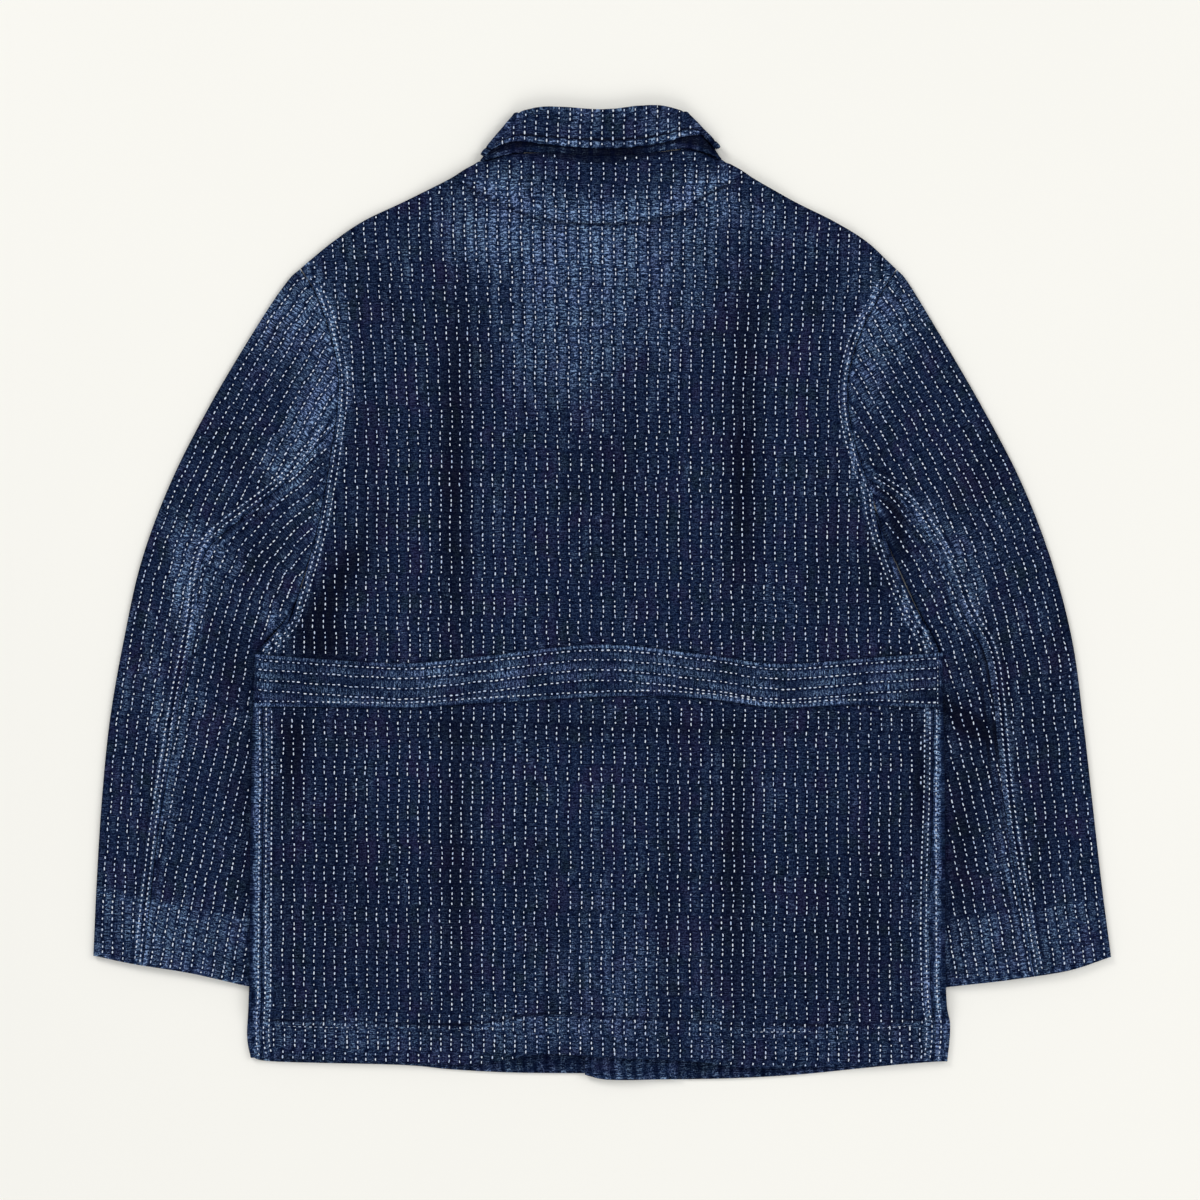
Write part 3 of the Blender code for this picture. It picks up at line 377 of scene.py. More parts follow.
def lengths(line):
    """The distance along a line at each of its points."""
    return np.concatenate([[0], np.cumsum(np.linalg.norm(np.diff(line, axis=0), axis=1))])


def at(line, share):
    """The points of a line at these shares of its length."""
    run = lengths(line)
    share = np.asarray(share, float) * run[-1]
    return np.stack([np.interp(share, run, line[:, i]) for i in range(line.shape[1])], axis=-1)


def x_at(line, y):
    """The X at heights y of a line that falls steadily."""
    return np.interp(-np.asarray(y, float), -line[:, 1], line[:, 0])


def y_at(line, x):
    """The Y at places x of a line that runs steadily across."""
    order = 1 if line[-1, 0] > line[0, 0] else -1
    return np.interp(order * np.asarray(x, float), order * line[:, 0], line[:, 1])


def tangents(line):
    """Unit vectors along a line."""
    return unit(np.gradient(line, axis=0))


def inset(line, side, depth):
    """A line moved towards the inside of what it bounds: side 1 is to the right of its run."""
    return line - depth * side * across_of(tangents(line))


def between(start, end, first, last, u, v, fade=1):
    """Points between four edges: start and end at u 0 and 1, first and last at v 0 and 1."""
    u, v = np.atleast_2d(u)[..., None], np.asarray(v)[:, None, None]
    straight = (1 - u) * start[:, None] + u * end[:, None]
    first_bow = first - ((1 - u) * start[0] + u * end[0])
    last_bow = last - ((1 - u) * start[-1] + u * end[-1])
    return straight + (1 - v) ** fade * first_bow + v * last_bow


def along_line(line, x, y):
    """For each point its signed distance from a line, positive to the line's left, and its run along it."""
    x, y = np.broadcast_arrays(np.asarray(x, float), np.asarray(y, float))
    points = np.column_stack([x.ravel(), y.ravel()])
    run = lengths(line)
    step = np.diff(line, axis=0)
    size = (step ** 2).sum(axis=1)
    best = np.full(len(points), np.inf)
    place = np.zeros(len(points))
    sign = np.ones(len(points))
    for k in range(len(step)):
        away = points - line[k]
        low = -1e9 if k == 0 else 0
        high = 1e9 if k == len(step) - 1 else 1
        share = np.clip(away @ step[k] / size[k], low, high)
        gap = np.linalg.norm(away - share[:, None] * step[k], axis=1)
        nearer = gap < best
        best[nearer] = gap[nearer]
        place[nearer] = (run[k] + share * math.sqrt(size[k]))[nearer]
        sign[nearer] = np.sign(step[k][0] * away[:, 1] - step[k][1] * away[:, 0])[nearer]
    return (best * sign).reshape(x.shape), place.reshape(x.shape)


def curves(table, steps=16):
    """The smooth curve of each side in a table."""
    return {side: curve(points, steps) for side, points in table.items()}


SIDES, INNERS, OUTERS = curves(SIDE), curves(SLEEVE_INNER), curves(SLEEVE_OUTER)
SEAMS, CUFFS, ARMHOLES = curves(SLEEVE_SEAM), curves(CUFF), curves(ARMHOLE)
SHOULDERS, FRONT_NECKS, FRONT_HEMS = curves(SHOULDER), curves(FRONT_NECK), curves(FRONT_HEM)
BODY = {side: np.vstack([ARMHOLES[side], SIDES[side][1:]]) for side in (-1, 1)}
OUTER_LINES = {side: inset(OUTERS[side], side, EDGE) for side in (-1, 1)}
UNDER_ROWS = curves(UNDER_ROW, 6)
HEM = curve(BACK_HEM)
MOON = curve(HALF_MOON, 6)
NECK = curve(BACK_NECK)
BELT_TOP_LINE, BELT_FOOT_LINE = curve(BELT_TOP), curve(BELT_FOOT)
EDGE_ROWS = {side: np.array(ARMHOLE_ROWS[side] + SIDE_ROWS[side]) for side in (-1, 1)}
DOWN = sum((EDGE_ROWS[side][0] - EDGE_ROWS[side]) / (EDGE_ROWS[side][0] - EDGE_ROWS[side][-1])
           for side in (-1, 1)) / 2


def wrap_at(side, y):
    """How far the front reaches over the body's edge onto the back, at the heights y."""
    table = np.array(WRAP[side])
    return np.interp(-np.asarray(y, float), -table[:, 0], table[:, 1])


def tuck_lift(x, y):
    """How high a sleeve's tucked inner edge holds the body off the surface."""
    total = 0.0
    for side in (-1, 1):
        edge = x_at(SIDES[side], y)
        overlap = np.maximum(0, side * (edge - x_at(INNERS[side], y)))
        inside = side * (edge - x)
        along = smooth(TUCK_START[side], TUCK_FULL, y) * (1 - smooth(TUCK_LEAVE, TUCK_END, y))
        total = total + along * (1 - smooth(overlap + 6, overlap + 52, inside))
    return TUCK_LIFT * total


def placket_lift(x, y):
    """How high the collar's leaves and the buttons hold the fronts off the surface."""
    over_collar = 1 - smooth(1.0, 1.24, np.hypot(x / 133.0, (y - 351.0) / 150.0))
    along = 1 - smooth(-186.0, -340.0, y)
    over_buttons = (1 - smooth(19, 46, np.abs(x - BUTTON_LINE))) * along
    return NECK_LIFT * np.maximum(over_collar, over_buttons)


def front_inside(side, x, y):
    """The upper face of a front panel, which is its plain inner side."""
    height = tuck_lift(x, y) + placket_lift(x, y) + CLOTH
    if side == 1:
        height = height + (CLOTH + LAYER_GAP) * (1 - smooth(22.0, 46.0, x))
    return height


def folds(table, x, y, low=FOLD_LOW, high=FOLD_HIGH):
    """The height that a table of soft folds adds at (x, y)."""
    total = np.zeros(np.broadcast(x, y).shape)
    for (x0, y0), (x1, y1), width, height in table:
        span = math.hypot(x1 - x0, y1 - y0)
        along = ((x - x0) * (x1 - x0) + (y - y0) * (y1 - y0)) / span
        across = ((x - x0) * (y1 - y0) - (y - y0) * (x1 - x0)) / span
        ends = smooth(-0.3 * span, 0.25 * span, along) * (1 - smooth(0.75 * span, 1.3 * span, along))
        total += height * ends * np.exp(-((across / width) ** 2))
    return np.clip(total, low, high)


def waves(seed, count, shortest, longest):
    """A fixed set of plane waves: their vectors, phases and sizes."""
    random = np.random.default_rng(seed)
    length = shortest * (longest / shortest) ** random.random(count)
    angle = random.random(count) * math.tau
    vectors = np.column_stack([np.cos(angle), np.sin(angle)]) * (math.tau / length)[:, None]
    sizes = (length / longest) ** 0.8
    return vectors, random.random(count) * math.tau, sizes / np.sqrt((sizes ** 2).sum())


RIPPLES = waves(7, 22, 14.0, 70.0)


def ripple(x, y, table=RIPPLES):
    """A gentle unevenness, about -1 to 1."""
    total = np.zeros(np.broadcast(x, y).shape)
    for (a, b), phase, size in zip(*table):
        total += size * np.sin(a * x + b * y + phase)
    return total


def armhole_ease(side, y):
    """How far the cloth stands clear of the layer below it along the armhole."""
    top = ARMHOLE[side][0][1]
    foot = ARMHOLE[side][-1][1]
    return 1.2 * smooth(top, top - 70, y) * smooth(foot, foot + 70, y)


def back_inside(x, y):
    """The lower face of the back panel, with the smaller creases on it."""
    stacked = (1 - smooth(46, 92, np.abs(x - 23))) * (1 - smooth(290, 340, y))
    inside = np.minimum(x - x_at(BODY[-1], y), x_at(BODY[1], y) - x)
    middle = smooth(0, 60, inside)
    lengthwise = smooth(-394, -345, y) * (1 - smooth(235, 330, y))
    ease = middle * lengthwise * (EASE + folds(BACK_FOLDS, x, y)) * (1 - 0.5 * stacked)
    ease = ease + (1 - middle) * np.where(x < 0, armhole_ease(-1, y), armhole_ease(1, y))
    rim = smooth(1, 14, inside) * smooth(0, 22, y - y_at(HEM, x)) * (1 - smooth(300, 338, y))
    ease = ease + rim * (folds(BACK_CREASES, x, y, -1, 3) + 0.3 * (1 + ripple(x, y)))
    layers = CLOTH + 2 * (CLOTH + LAYER_GAP) * stacked
    return tuck_lift(x, y) + placket_lift(x, y) + layers + EDGE_AIR + ease


def edge_depth(side, y):
    """How far inside the body's outline the back panel ends, at the heights y."""
    rows = EDGE_ROWS[side]
    free = len(ARMHOLE_ROWS[side])
    depth = np.where(np.arange(len(rows)) < free, SEAM / 2, wrap_at(side, rows) + SEAM)
    depth[free] = EDGE
    return np.interp(-np.asarray(y, float), -rows, depth)


def from_edge(x, y):
    """The distance in X from the back panel's nearer side edge."""
    left = x - x_at(BODY[-1], y) - edge_depth(-1, y)
    right = x_at(BODY[1], y) - edge_depth(1, y) - x
    return np.minimum(left, right)


def furrow(s):
    """1 on a row of stitches and 0 between rows."""
    return 0.5 + 0.5 * np.cos(math.tau * s / PITCH)


def clear_of_belt(y):
    """0 under the belt and 1 away from it."""
    return smooth(-50, -40, y) + 1 - smooth(-106, -96, y)


def back_relief(x, y):
    """What stands proud of the back's plain outer face: seam ridges, hem band, furrows and half-moon."""
    inside = from_edge(x, y)
    s, _ = back_weave(x, y)
    sides = (1 - smooth(8.2, 10.2, inside)) * clear_of_belt(y) * (1 - smooth(330, 345, y))
    groove = sum(hump(inside, place, 0.8) for place in RIDGE_GROOVES)
    pucker = 0.16 * np.sin(math.tau * y / 7.4 + 1.7 * np.sin(y / 23)) * (1 - smooth(12, 20, inside))
    band = y - y_at(HEM, x)
    hem = 1 - smooth(HEM_BAND - 1.2, HEM_BAND + 1.2, band)
    hem_groove = hump(band, HEM_ROW, 0.8) + hump(band, 4.0, 0.9)
    hem_pucker = 0.18 * np.sin(math.tau * x / 8.3 + 1.3 * np.sin(x / 31)) * (1 - smooth(34, 44, band))
    height = RAISED * np.maximum(sides, hem) - 0.35 * sides * groove - 0.35 * hem_groove
    height = height + pucker * clear_of_belt(y) + hem_pucker
    near_neck = (y > 280) & (np.abs(x) < 135)
    if np.any(near_neck):
        over, run = along_line(MOON, x[near_neck], y[near_neck])
        moon = 0.6 * smooth(-0.6, 1.6, over) + 0.5 * hump(over, 2.6, 1.8)
        moon = moon - 0.6 * hump(over, -0.6, 1.5)
        moon = moon + 0.2 * np.sin(math.tau * run / 8.0) * hump(over, 0, 6)
        height[near_neck] += moon * (1 - smooth(336, 347, y[near_neck]))
    away = smooth(10, 14, inside) * smooth(35, 39, band)
    return height - FURROW * furrow(s) * away


def lean(y):
    """How far the rows of stitches spread towards the shoulders, as a share."""
    return 0.06 * smooth(120, 330, y)


def row_x(s, y):
    """Where the row at s across the cloth lies: the rows are a little wider apart in the middle."""
    return (s + 5 * np.tanh(s / 80)) * (1 + lean(y))


ROW_TABLE = np.linspace(-420, 420, 421)
ROW_PLACES = ROW_TABLE + 5 * np.tanh(ROW_TABLE / 80)


def back_weave(x, y):
    """Across and along the rows of the body's cloth."""
    return np.interp(x / (1 + lean(y)), ROW_PLACES, ROW_TABLE), ROWS_TOP - y + 0 * x


def jog(run, offset):
    """The sideways step of the block of stitches at this run along a row."""
    place = np.mod(run - ROW_SLIP * offset - ROWS_START, BLOCK_ENDS[-1])
    total = np.full(np.shape(place), BLOCKS[0][0])
    for end, before, after in zip(BLOCK_ENDS, BLOCKS, BLOCKS[1:] + BLOCKS[:1]):
        total = total + (after[0] - before[0]) * smooth(end - 2, end + 1, place)
    return total


def shell(name, grid, present, thick, coordinates, wear, dark, outside):
    """A closed thin shell: an inner grid of points, thickened outwards by thick at each point.

    present says which points of the grid are there. Rows with unlike columns are joined by triangles.
    """
    rows, columns = grid.shape[:2]
    number = np.full((rows, columns), -1)
    number[present] = np.arange(present.sum())
    points = grid[present]
    quads, tris = [], []
    for i in range(rows - 1):
        a, b = np.flatnonzero(present[i]), np.flatnonzero(present[i + 1])
        both = np.intersect1d(a, b)
        for left, right in zip(both[:-1], both[1:]):
            upper = a[(a >= left) & (a <= right)] if len(a) != len(both) else (left, right)
            lower = b[(b >= left) & (b <= right)] if len(b) != len(both) else (left, right)
            if len(upper) == 2 and len(lower) == 2:
                quads.append((number[i, left], number[i, right], number[i + 1, right], number[i + 1, left]))
                continue
            many, few = ((i, upper), (i + 1, lower)) if len(upper) > 2 else ((i + 1, lower), (i, upper))
            ids = number[many[0], many[1]]
            ends = number[few[0], [left, right]]
            gaps = (np.linalg.norm(points[ids] - points[ends[0]], axis=1)
                    + np.linalg.norm(points[ids] - points[ends[1]], axis=1))
            split = int(np.argmin(gaps))
            fan = [(ids[j], ids[j + 1], ends[0] if j < split else ends[1]) for j in range(len(ids) - 1)]
            fan.append((ids[split], ends[1], ends[0]))
            tris += fan if many[0] == i else [face[::-1] for face in fan]
    faces = [np.array(quads).reshape(-1, 4), np.array(tris).reshape(-1, 3)]
    normal = np.zeros_like(points)
    for group in faces:
        if len(group):
            across = points[group[:, 1]] - points[group[:, 0]]
            down = points[group[:, -1]] - points[group[:, 0]]
            cross = np.cross(across, down)
            for k in range(group.shape[1]):
                np.add.at(normal, group[:, k], cross)
    normal /= np.maximum(np.linalg.norm(normal, axis=1), 1e-9)[:, None]
    i, j = (rows - 1) // 2, np.flatnonzero(present[(rows - 1) // 2])
    middle = number[i, j[len(j) // 2]]
    if np.dot(normal[middle], outside) < 0:
        normal = -normal
        faces = [group[:, ::-1] for group in faces]
    count = len(points)
    outer = points + normal * thick[present][:, None]
    edges = np.vstack([group[:, [k, (k + 1) % group.shape[1]]] for group in faces if len(group)
                       for k in range(group.shape[1])])
    key = np.sort(edges, axis=1)
    _, index, times = np.unique(key[:, 0] * count + key[:, 1], return_index=True, return_counts=True)
    border = edges[index[times == 1]]
    rim = np.column_stack([border[:, 1], border[:, 0], border[:, 0] + count, border[:, 1] + count])
    every = []
    for group in faces:
        every += group.tolist()
        every += (group[:, ::-1] + count).tolist()
    every += rim.tolist()
    both = np.vstack([outer, points])
    piece = add_mesh(name, both, every)
    mesh = piece.data
    weave = np.vstack([coordinates[present], coordinates[present]])
    mesh.attributes.new("weave", "FLOAT_VECTOR", "POINT").data.foreach_set("vector", weave.ravel())
    for label, values in (("wear", wear), ("dark", dark)):
        values = np.concatenate([values[present], values[present]])
        mesh.attributes.new(label, "FLOAT", "POINT").data.foreach_set("value", values)
    return piece


def add_mesh(name, points, faces):
    """A smooth-shaded mesh object from points in millimetres."""
    mesh = bpy.data.meshes.new(name)
    mesh.from_pydata((np.asarray(points) * MM).tolist(), [], faces)
    mesh.update()
    mesh.shade_smooth()
    piece = bpy.data.objects.new(name, mesh)
    bpy.context.scene.collection.objects.link(piece)
    return piece


def row_count(s, t, shift):
    """The number of the row at s across and t along, which is whole on the rows of stitches."""
    return (s - jog(t, s) - shift) / PITCH


def cloth_points(rows, t, seed):
    """The cloth coordinates of each point as the material reads them: rows across, metres along, a seed."""
    rows, t = np.broadcast_arrays(rows, t)
    return np.stack([rows, t * MM, np.full(rows.shape, float(seed))], axis=-1)


def weave_vectors(s, t, seed, shift=0.0):
    """The cloth coordinates of the points at s across and t along, where the rows' blocks step sideways."""
    return cloth_points(row_count(s, t, shift), t, seed)


def blob(x, y, places):
    """Soft patches: centre, half widths, turn in degrees and strength of each."""
    total = np.zeros(np.broadcast(x, y).shape)
    for cx, cy, rx, ry, turn, strength in places:
        c, s = math.cos(math.radians(turn)), math.sin(math.radians(turn))
        a = ((x - cx) * c + (y - cy) * s) / rx
        b = (-(x - cx) * s + (y - cy) * c) / ry
        total += strength * np.exp(-(a * a + b * b))
    return total


# Where the cloth is faded, and where painted shade in its folds and hollows darkens it along with some
# unfaded dye: centre, half widths, turn in degrees, strength
WORN = [
    (-14, 282, 92, 30, 0, 0.85), (-22, 222, 62, 46, 0, 0.62), (-30, 160, 50, 40, 0, 0.35),
    (-92, 300, 34, 26, 20, 0.5), (96, 316, 40, 16, -24, 0.6), (-88, 330, 30, 12, 20, 0.4),
    (-160, 286, 44, 16, 28, 0.2), (168, 286, 44, 16, -28, 0.2), (56, 236, 48, 46, 0, 0.2),
    (-222, 196, 20, 66, 4, 0.5), (-256, 222, 40, 26, 20, 0.6), (-232, 150, 20, 30, 0, 0.5),
    (238, 226, 26, 34, -20, 0.45), (212, 190, 14, 60, -4, 0.4), (-338, 6, 12, 40, 8, 1.0),
    (-318, 40, 14, 20, 40, 0.8), (-262, 100, 28, 14, -42, 0.7), (-243, 128, 14, 22, 0, 0.7),
    (302, 0, 12, 40, -18, 0.6), (262, 62, 24, 10, -50, 0.6), (284, 30, 14, 16, 0, 0.5),
    (12, -316, 60, 44, 0, 0.35), (-180, -352, 36, 20, 0, 0.35), (-84, -350, 26, 22, 0, 0.3),
    (-36, -354, 50, 12, 0, 0.35), (130, -350, 40, 14, 0, 0.2),
    (-266, -24, 8, 20, 30, 0.8), (-354, -130, 8, 90, 7, 0.45), (328, -140, 7, 90, -6, 0.45),
    (-60, 60, 60, 40, 0, 0.08), (-268, -300, 12, 40, 0, 0.3), (266, -300, 12, 40, 0, 0.3),
    (-150, -110, 60, 10, 0, 0.12), (-340, -272, 60, 22, 8, 0.15), (330, -276, 60, 22, -8, 0.1),
    (0, -218, 34, 90, 0, 0.12), (-386, -60, 8, 90, 4, 0.2), (262, -94, 10, 12, 0, 0.4),
]
BELT_WORN = [(-120, -70, 60, 20, 0, 1), (40, -60, 60, 14, 0, 1), (200, -70, 50, 16, 0, 1)]
# Painted shade in the folds, in the hollows under the arms and along the waist, with some unfaded dye
HOLLOW_SHADE_AND_DYE = [
    (-214, 10, 15, 44, -32, 1.0), (-226, -36, 24, 24, 0, 1.1), (-250, -128, 14, 44, -4, 0.9),
    (-252, -250, 12, 90, 0, 0.4), (238, 62, 8, 40, 14, 1.1), (222, 16, 16, 30, 0, 0.5),
    (296, -104, 22, 8, -36, 1.1), (276, -88, 12, 8, -36, 0.7), (258, -150, 10, 60, 0, 0.8),
    (-120, 80, 15, 130, 0, 0.9), (-112, 200, 16, 60, 4, 0.35), (114, 100, 16, 120, 0, 0.95),
    (120, 220, 14, 40, 0, 0.4), (-118, -220, 16, 110, 0, 0.75), (108, -220, 16, 110, 0, 0.8),
    (-190, 90, 20, 60, 0, 0.35), (184, 40, 20, 70, 0, 0.4), (246, -70, 14, 30, 0, 0.5),
    (0, -108, 240, 9, 0, 0.5), (0, 96, 40, 70, 0, 0.35), (-60, -230, 16, 70, 4, 0.35),
    (60, -190, 14, 90, -2, 0.35), (-222, -230, 14, 90, 0, 0.4), (214, -260, 18, 70, 0, 0.4),
    (-300, -60, 14, 36, 0, 0.45), (-290, -170, 12, 80, 0, 0.55), (292, -220, 12, 90, 0, 0.55),
    (-36, -300, 10, 60, 0, 0.3), (52, -290, 10, 60, 0, 0.3),
    (-300, 120, 26, 18, -40, 0.4), (-276, 30, 24, 16, 40, 0.5), (-384, 20, 10, 70, 10, 0.35),
    (310, 100, 24, 50, -24, 0.45), (372, -40, 12, 80, -8, 0.4), (360, -180, 12, 80, -4, 0.35),
    (-170, 236, 10, 40, 20, 0.35), (176, 250, 12, 30, -20, 0.35), (232, -200, 12, 90, 0, 0.3),
    (-200, -200, 14, 100, 4, 0.3), (176, -220, 12, 90, 0, 0.25), (20, 60, 12, 90, 0, 0.2),
    (316, -110, 36, 110, -10, 0.45), (170, -280, 50, 60, 0, 0.3), (-170, -260, 40, 60, 0, 0.25),
]

def body_edges(v):
    """The heights at which a body row meets each side of the body, for the shares v of the way down."""
    return {side: np.interp(v, DOWN, EDGE_ROWS[side]) for side in (-1, 1)}


def with_top(grid, present, is_rolled, turn):
    """A grid with more rows before its first: a quarter roll along the shoulder, flat along the neck."""
    many = len(TOP_ANGLES)
    keep = present[0]
    first, second = grid[0, keep], grid[1, keep]
    along = np.gradient(first[:, :2], axis=0)
    along /= np.maximum(np.linalg.norm(along, axis=1), 1e-9)[:, None]
    away = across_of(along)
    away *= -np.sign((away * (second - first)[:, :2]).sum(axis=1))[:, None]
    extra = np.zeros((many, grid.shape[1], 3))
    for row, angle, step in zip(extra[::-1], np.radians(TOP_ANGLES), TOP_STEPS):
        out = np.where(is_rolled[keep], INNER_ROLL * math.sin(angle), step)
        rise = np.where(is_rolled[keep], turn * INNER_ROLL * (1 - math.cos(angle)), 0)
        row[keep] = np.column_stack([first[:, :2] + out[:, None] * away, first[:, 2] + rise])
    return np.vstack([extra, grid]), np.vstack([np.repeat(keep[None], many, axis=0), present])


def make_back():
    """The back panel: its columns follow the rows of stitches, and its rims the side seams."""
    v = np.linspace(0, 1, BACK_ROWS)
    ys = body_edges(v)
    edge = {side: np.column_stack([x_at(BODY[side], ys[side]) - side * edge_depth(side, ys[side]), ys[side]])
            for side in (-1, 1)}
    left, right = edge[-1], edge[1]
    shoulders = [inset(SHOULDERS[-1], -1, EDGE)[::-1], inset(SHOULDERS[1], 1, EDGE)]
    neck = inset(NECK, 1, TOP_STEPS[-1] + SEAM / 2)
    top = np.vstack([shoulders[0], neck[1:-1], shoulders[1]])
    top[:, 0] = np.maximum.accumulate(top[:, 0])

    def bow(line, start, end, u):
        x = start[0] + u * (end[0] - start[0])
        return (y_at(line, x) + (1 - u) * (start[1] - y_at(line, start[0]))
                + u * (end[1] - y_at(line, end[0])) - ((1 - u) * start[1] + u * end[1]))

    def height_of(x):
        u = (x - left[:, :1]) / (right[:, :1] - left[:, :1])
        y = (1 - u) * left[:, 1:] + u * right[:, 1:]
        y = y + (1 - v[:, None]) * bow(top, left[0], right[0], u)
        y = y + v[:, None] * bow(HEM, left[-1], right[-1], u)
        y[0] = y_at(top, x[0])
        return y

    count = int(HALF_WIDTH / COLUMN)
    s = np.arange(-count, count + 1) * COLUMN
    x = np.tile(s, (len(v), 1))
    for _ in range(3):
        x = row_x(s, height_of(x))
    gap = BACK_RIM[-1] + RIM_GAP
    inside = (x > left[:, :1] + gap) & (x < right[:, :1] - gap)
    full = np.hstack([left[:, :1] + BACK_RIM, x, right[:, :1] - BACK_RIM[::-1]])
    rim = np.ones((len(v), len(BACK_RIM)), bool)
    full = np.clip(full, left[:, :1], right[:, :1])
    y = height_of(full)
    is_rolled = (full[0] < BACK_NECK[0][0] + 1) | (full[0] > BACK_NECK[-1][0] - 1)
    grid, present = with_top(np.dstack([full, y, back_inside(full, y)]), np.hstack([rim, inside, rim]),
                             is_rolled, -1)
    gx, gy = grid[..., 0], grid[..., 1]
    thick = CLOTH + back_relief(gx, gy)
    thick[: len(TOP_ANGLES)] = CLOTH
    return shell("back_panel", grid, present, thick, weave_vectors(*back_weave(gx, gy), 0),
                 body_wear(gx, gy), body_painted_shade_and_dye(gx, gy), (0, 0, 1))


def body_wear(x, y):
    """How faded the body's cloth is."""
    inside = from_edge(x, y)
    band = y - y_at(HEM, x)
    ridge = 0.24 * (1 - smooth(8.5, 11, inside)) * (1 - smooth(330, 345, y))
    crown = 0.2 * (hump(inside, 0.8, 1.2) + hump(inside, 4.6, 1.4))
    hem = 0.12 * (1 - smooth(33, 37, band)) + 0.35 * hump(band, 0, 2.5)
    hem = hem + 0.3 * hump(band, 33.6, 1.5)
    wear = blob(x, y, WORN) + ridge + crown + hem
    over, _ = along_line(MOON, x, y)
    ends = 1 - smooth(100, 116, np.abs(x))
    return wear + ends * (0.8 * hump(over, 5.0, 3.6) + 0.35 * hump(over, 14, 9))


def body_painted_shade_and_dye(x, y):
    """How dark the body is: painted shade in its folds and hollows with some unfaded dye, painted shadow
    under the collar's leaf, painted shade in the half-moon's groove, and a dark line just above the hem band.
    """
    over, _ = along_line(MOON, x, y)
    ends = 1 - smooth(104, 118, np.abs(x))
    # Painted shade in the groove under the half-moon's edge
    crease = 1.2 * ends * hump(over, -0.6, 1.5)
    # Painted shadow of the collar's leaf on the top of the back, reaching furthest down in the middle
    shade = 3 + 6 * hump(x, 0, 45)
    under = smooth(0, 1, (y - y_at(NECK, x) + shade) / 4) * (np.abs(x) < 100)
    band = y - y_at(HEM, x)
    return blob(x, y, HOLLOW_SHADE_AND_DYE) + 0.8 * under + crease + 0.9 * hump(band, 36.0, 1.1)


def full_turn(side):
    """The height below which a front is fully turned onto the back."""
    return EDGE_ROWS[side][len(ARMHOLE_ROWS[side]) + 1]


def turn_columns(side, y):
    """The inner points of a front where it turns up over the body's edge, at the heights y."""
    edge = x_at(BODY[side], y)
    rows = EDGE_ROWS[side]
    free = len(ARMHOLE_ROWS[side])
    lap = -rows
    to_quarter = np.clip((-y - lap[free - 1]) / (lap[free] - lap[free - 1]), 0, 1)[:, None]
    to_full = np.clip((-y - lap[free]) / (lap[free + 1] - lap[free]), 0, 1)[:, None]
    start = edge - side * (SEAM / 2 + (EDGE - SEAM / 2) * to_quarter[:, 0])
    level = front_inside(side, start, y)

    def columns(x, height):
        return np.dstack([x, np.repeat(y[:, None], x.shape[1], axis=1), height])

    def roll(degrees):
        turned = np.radians(degrees)
        return columns(start[:, None] + side * INNER_ROLL * np.sin(turned),
                       level[:, None] + INNER_ROLL * (1 - np.cos(turned)))

    reach = np.maximum(wrap_at(side, y) - EDGE, 0)
    over = start[:, None] - side * reach[:, None] * TURN_STEPS
    flat = columns(over, back_inside(over, y[:, None]))
    full = np.concatenate([flat, roll(np.linspace(180, 0, 9))], axis=1)
    many = full.shape[1]
    quarter = roll(np.linspace(82, 0, many))
    ahead = start[:, None] - side * np.linspace(0, 7, many)
    plain = columns(ahead, front_inside(side, ahead, y[:, None]))
    mixed = plain + to_quarter[..., None] * (quarter - plain)
    return mixed + to_full[..., None] * (full - mixed)


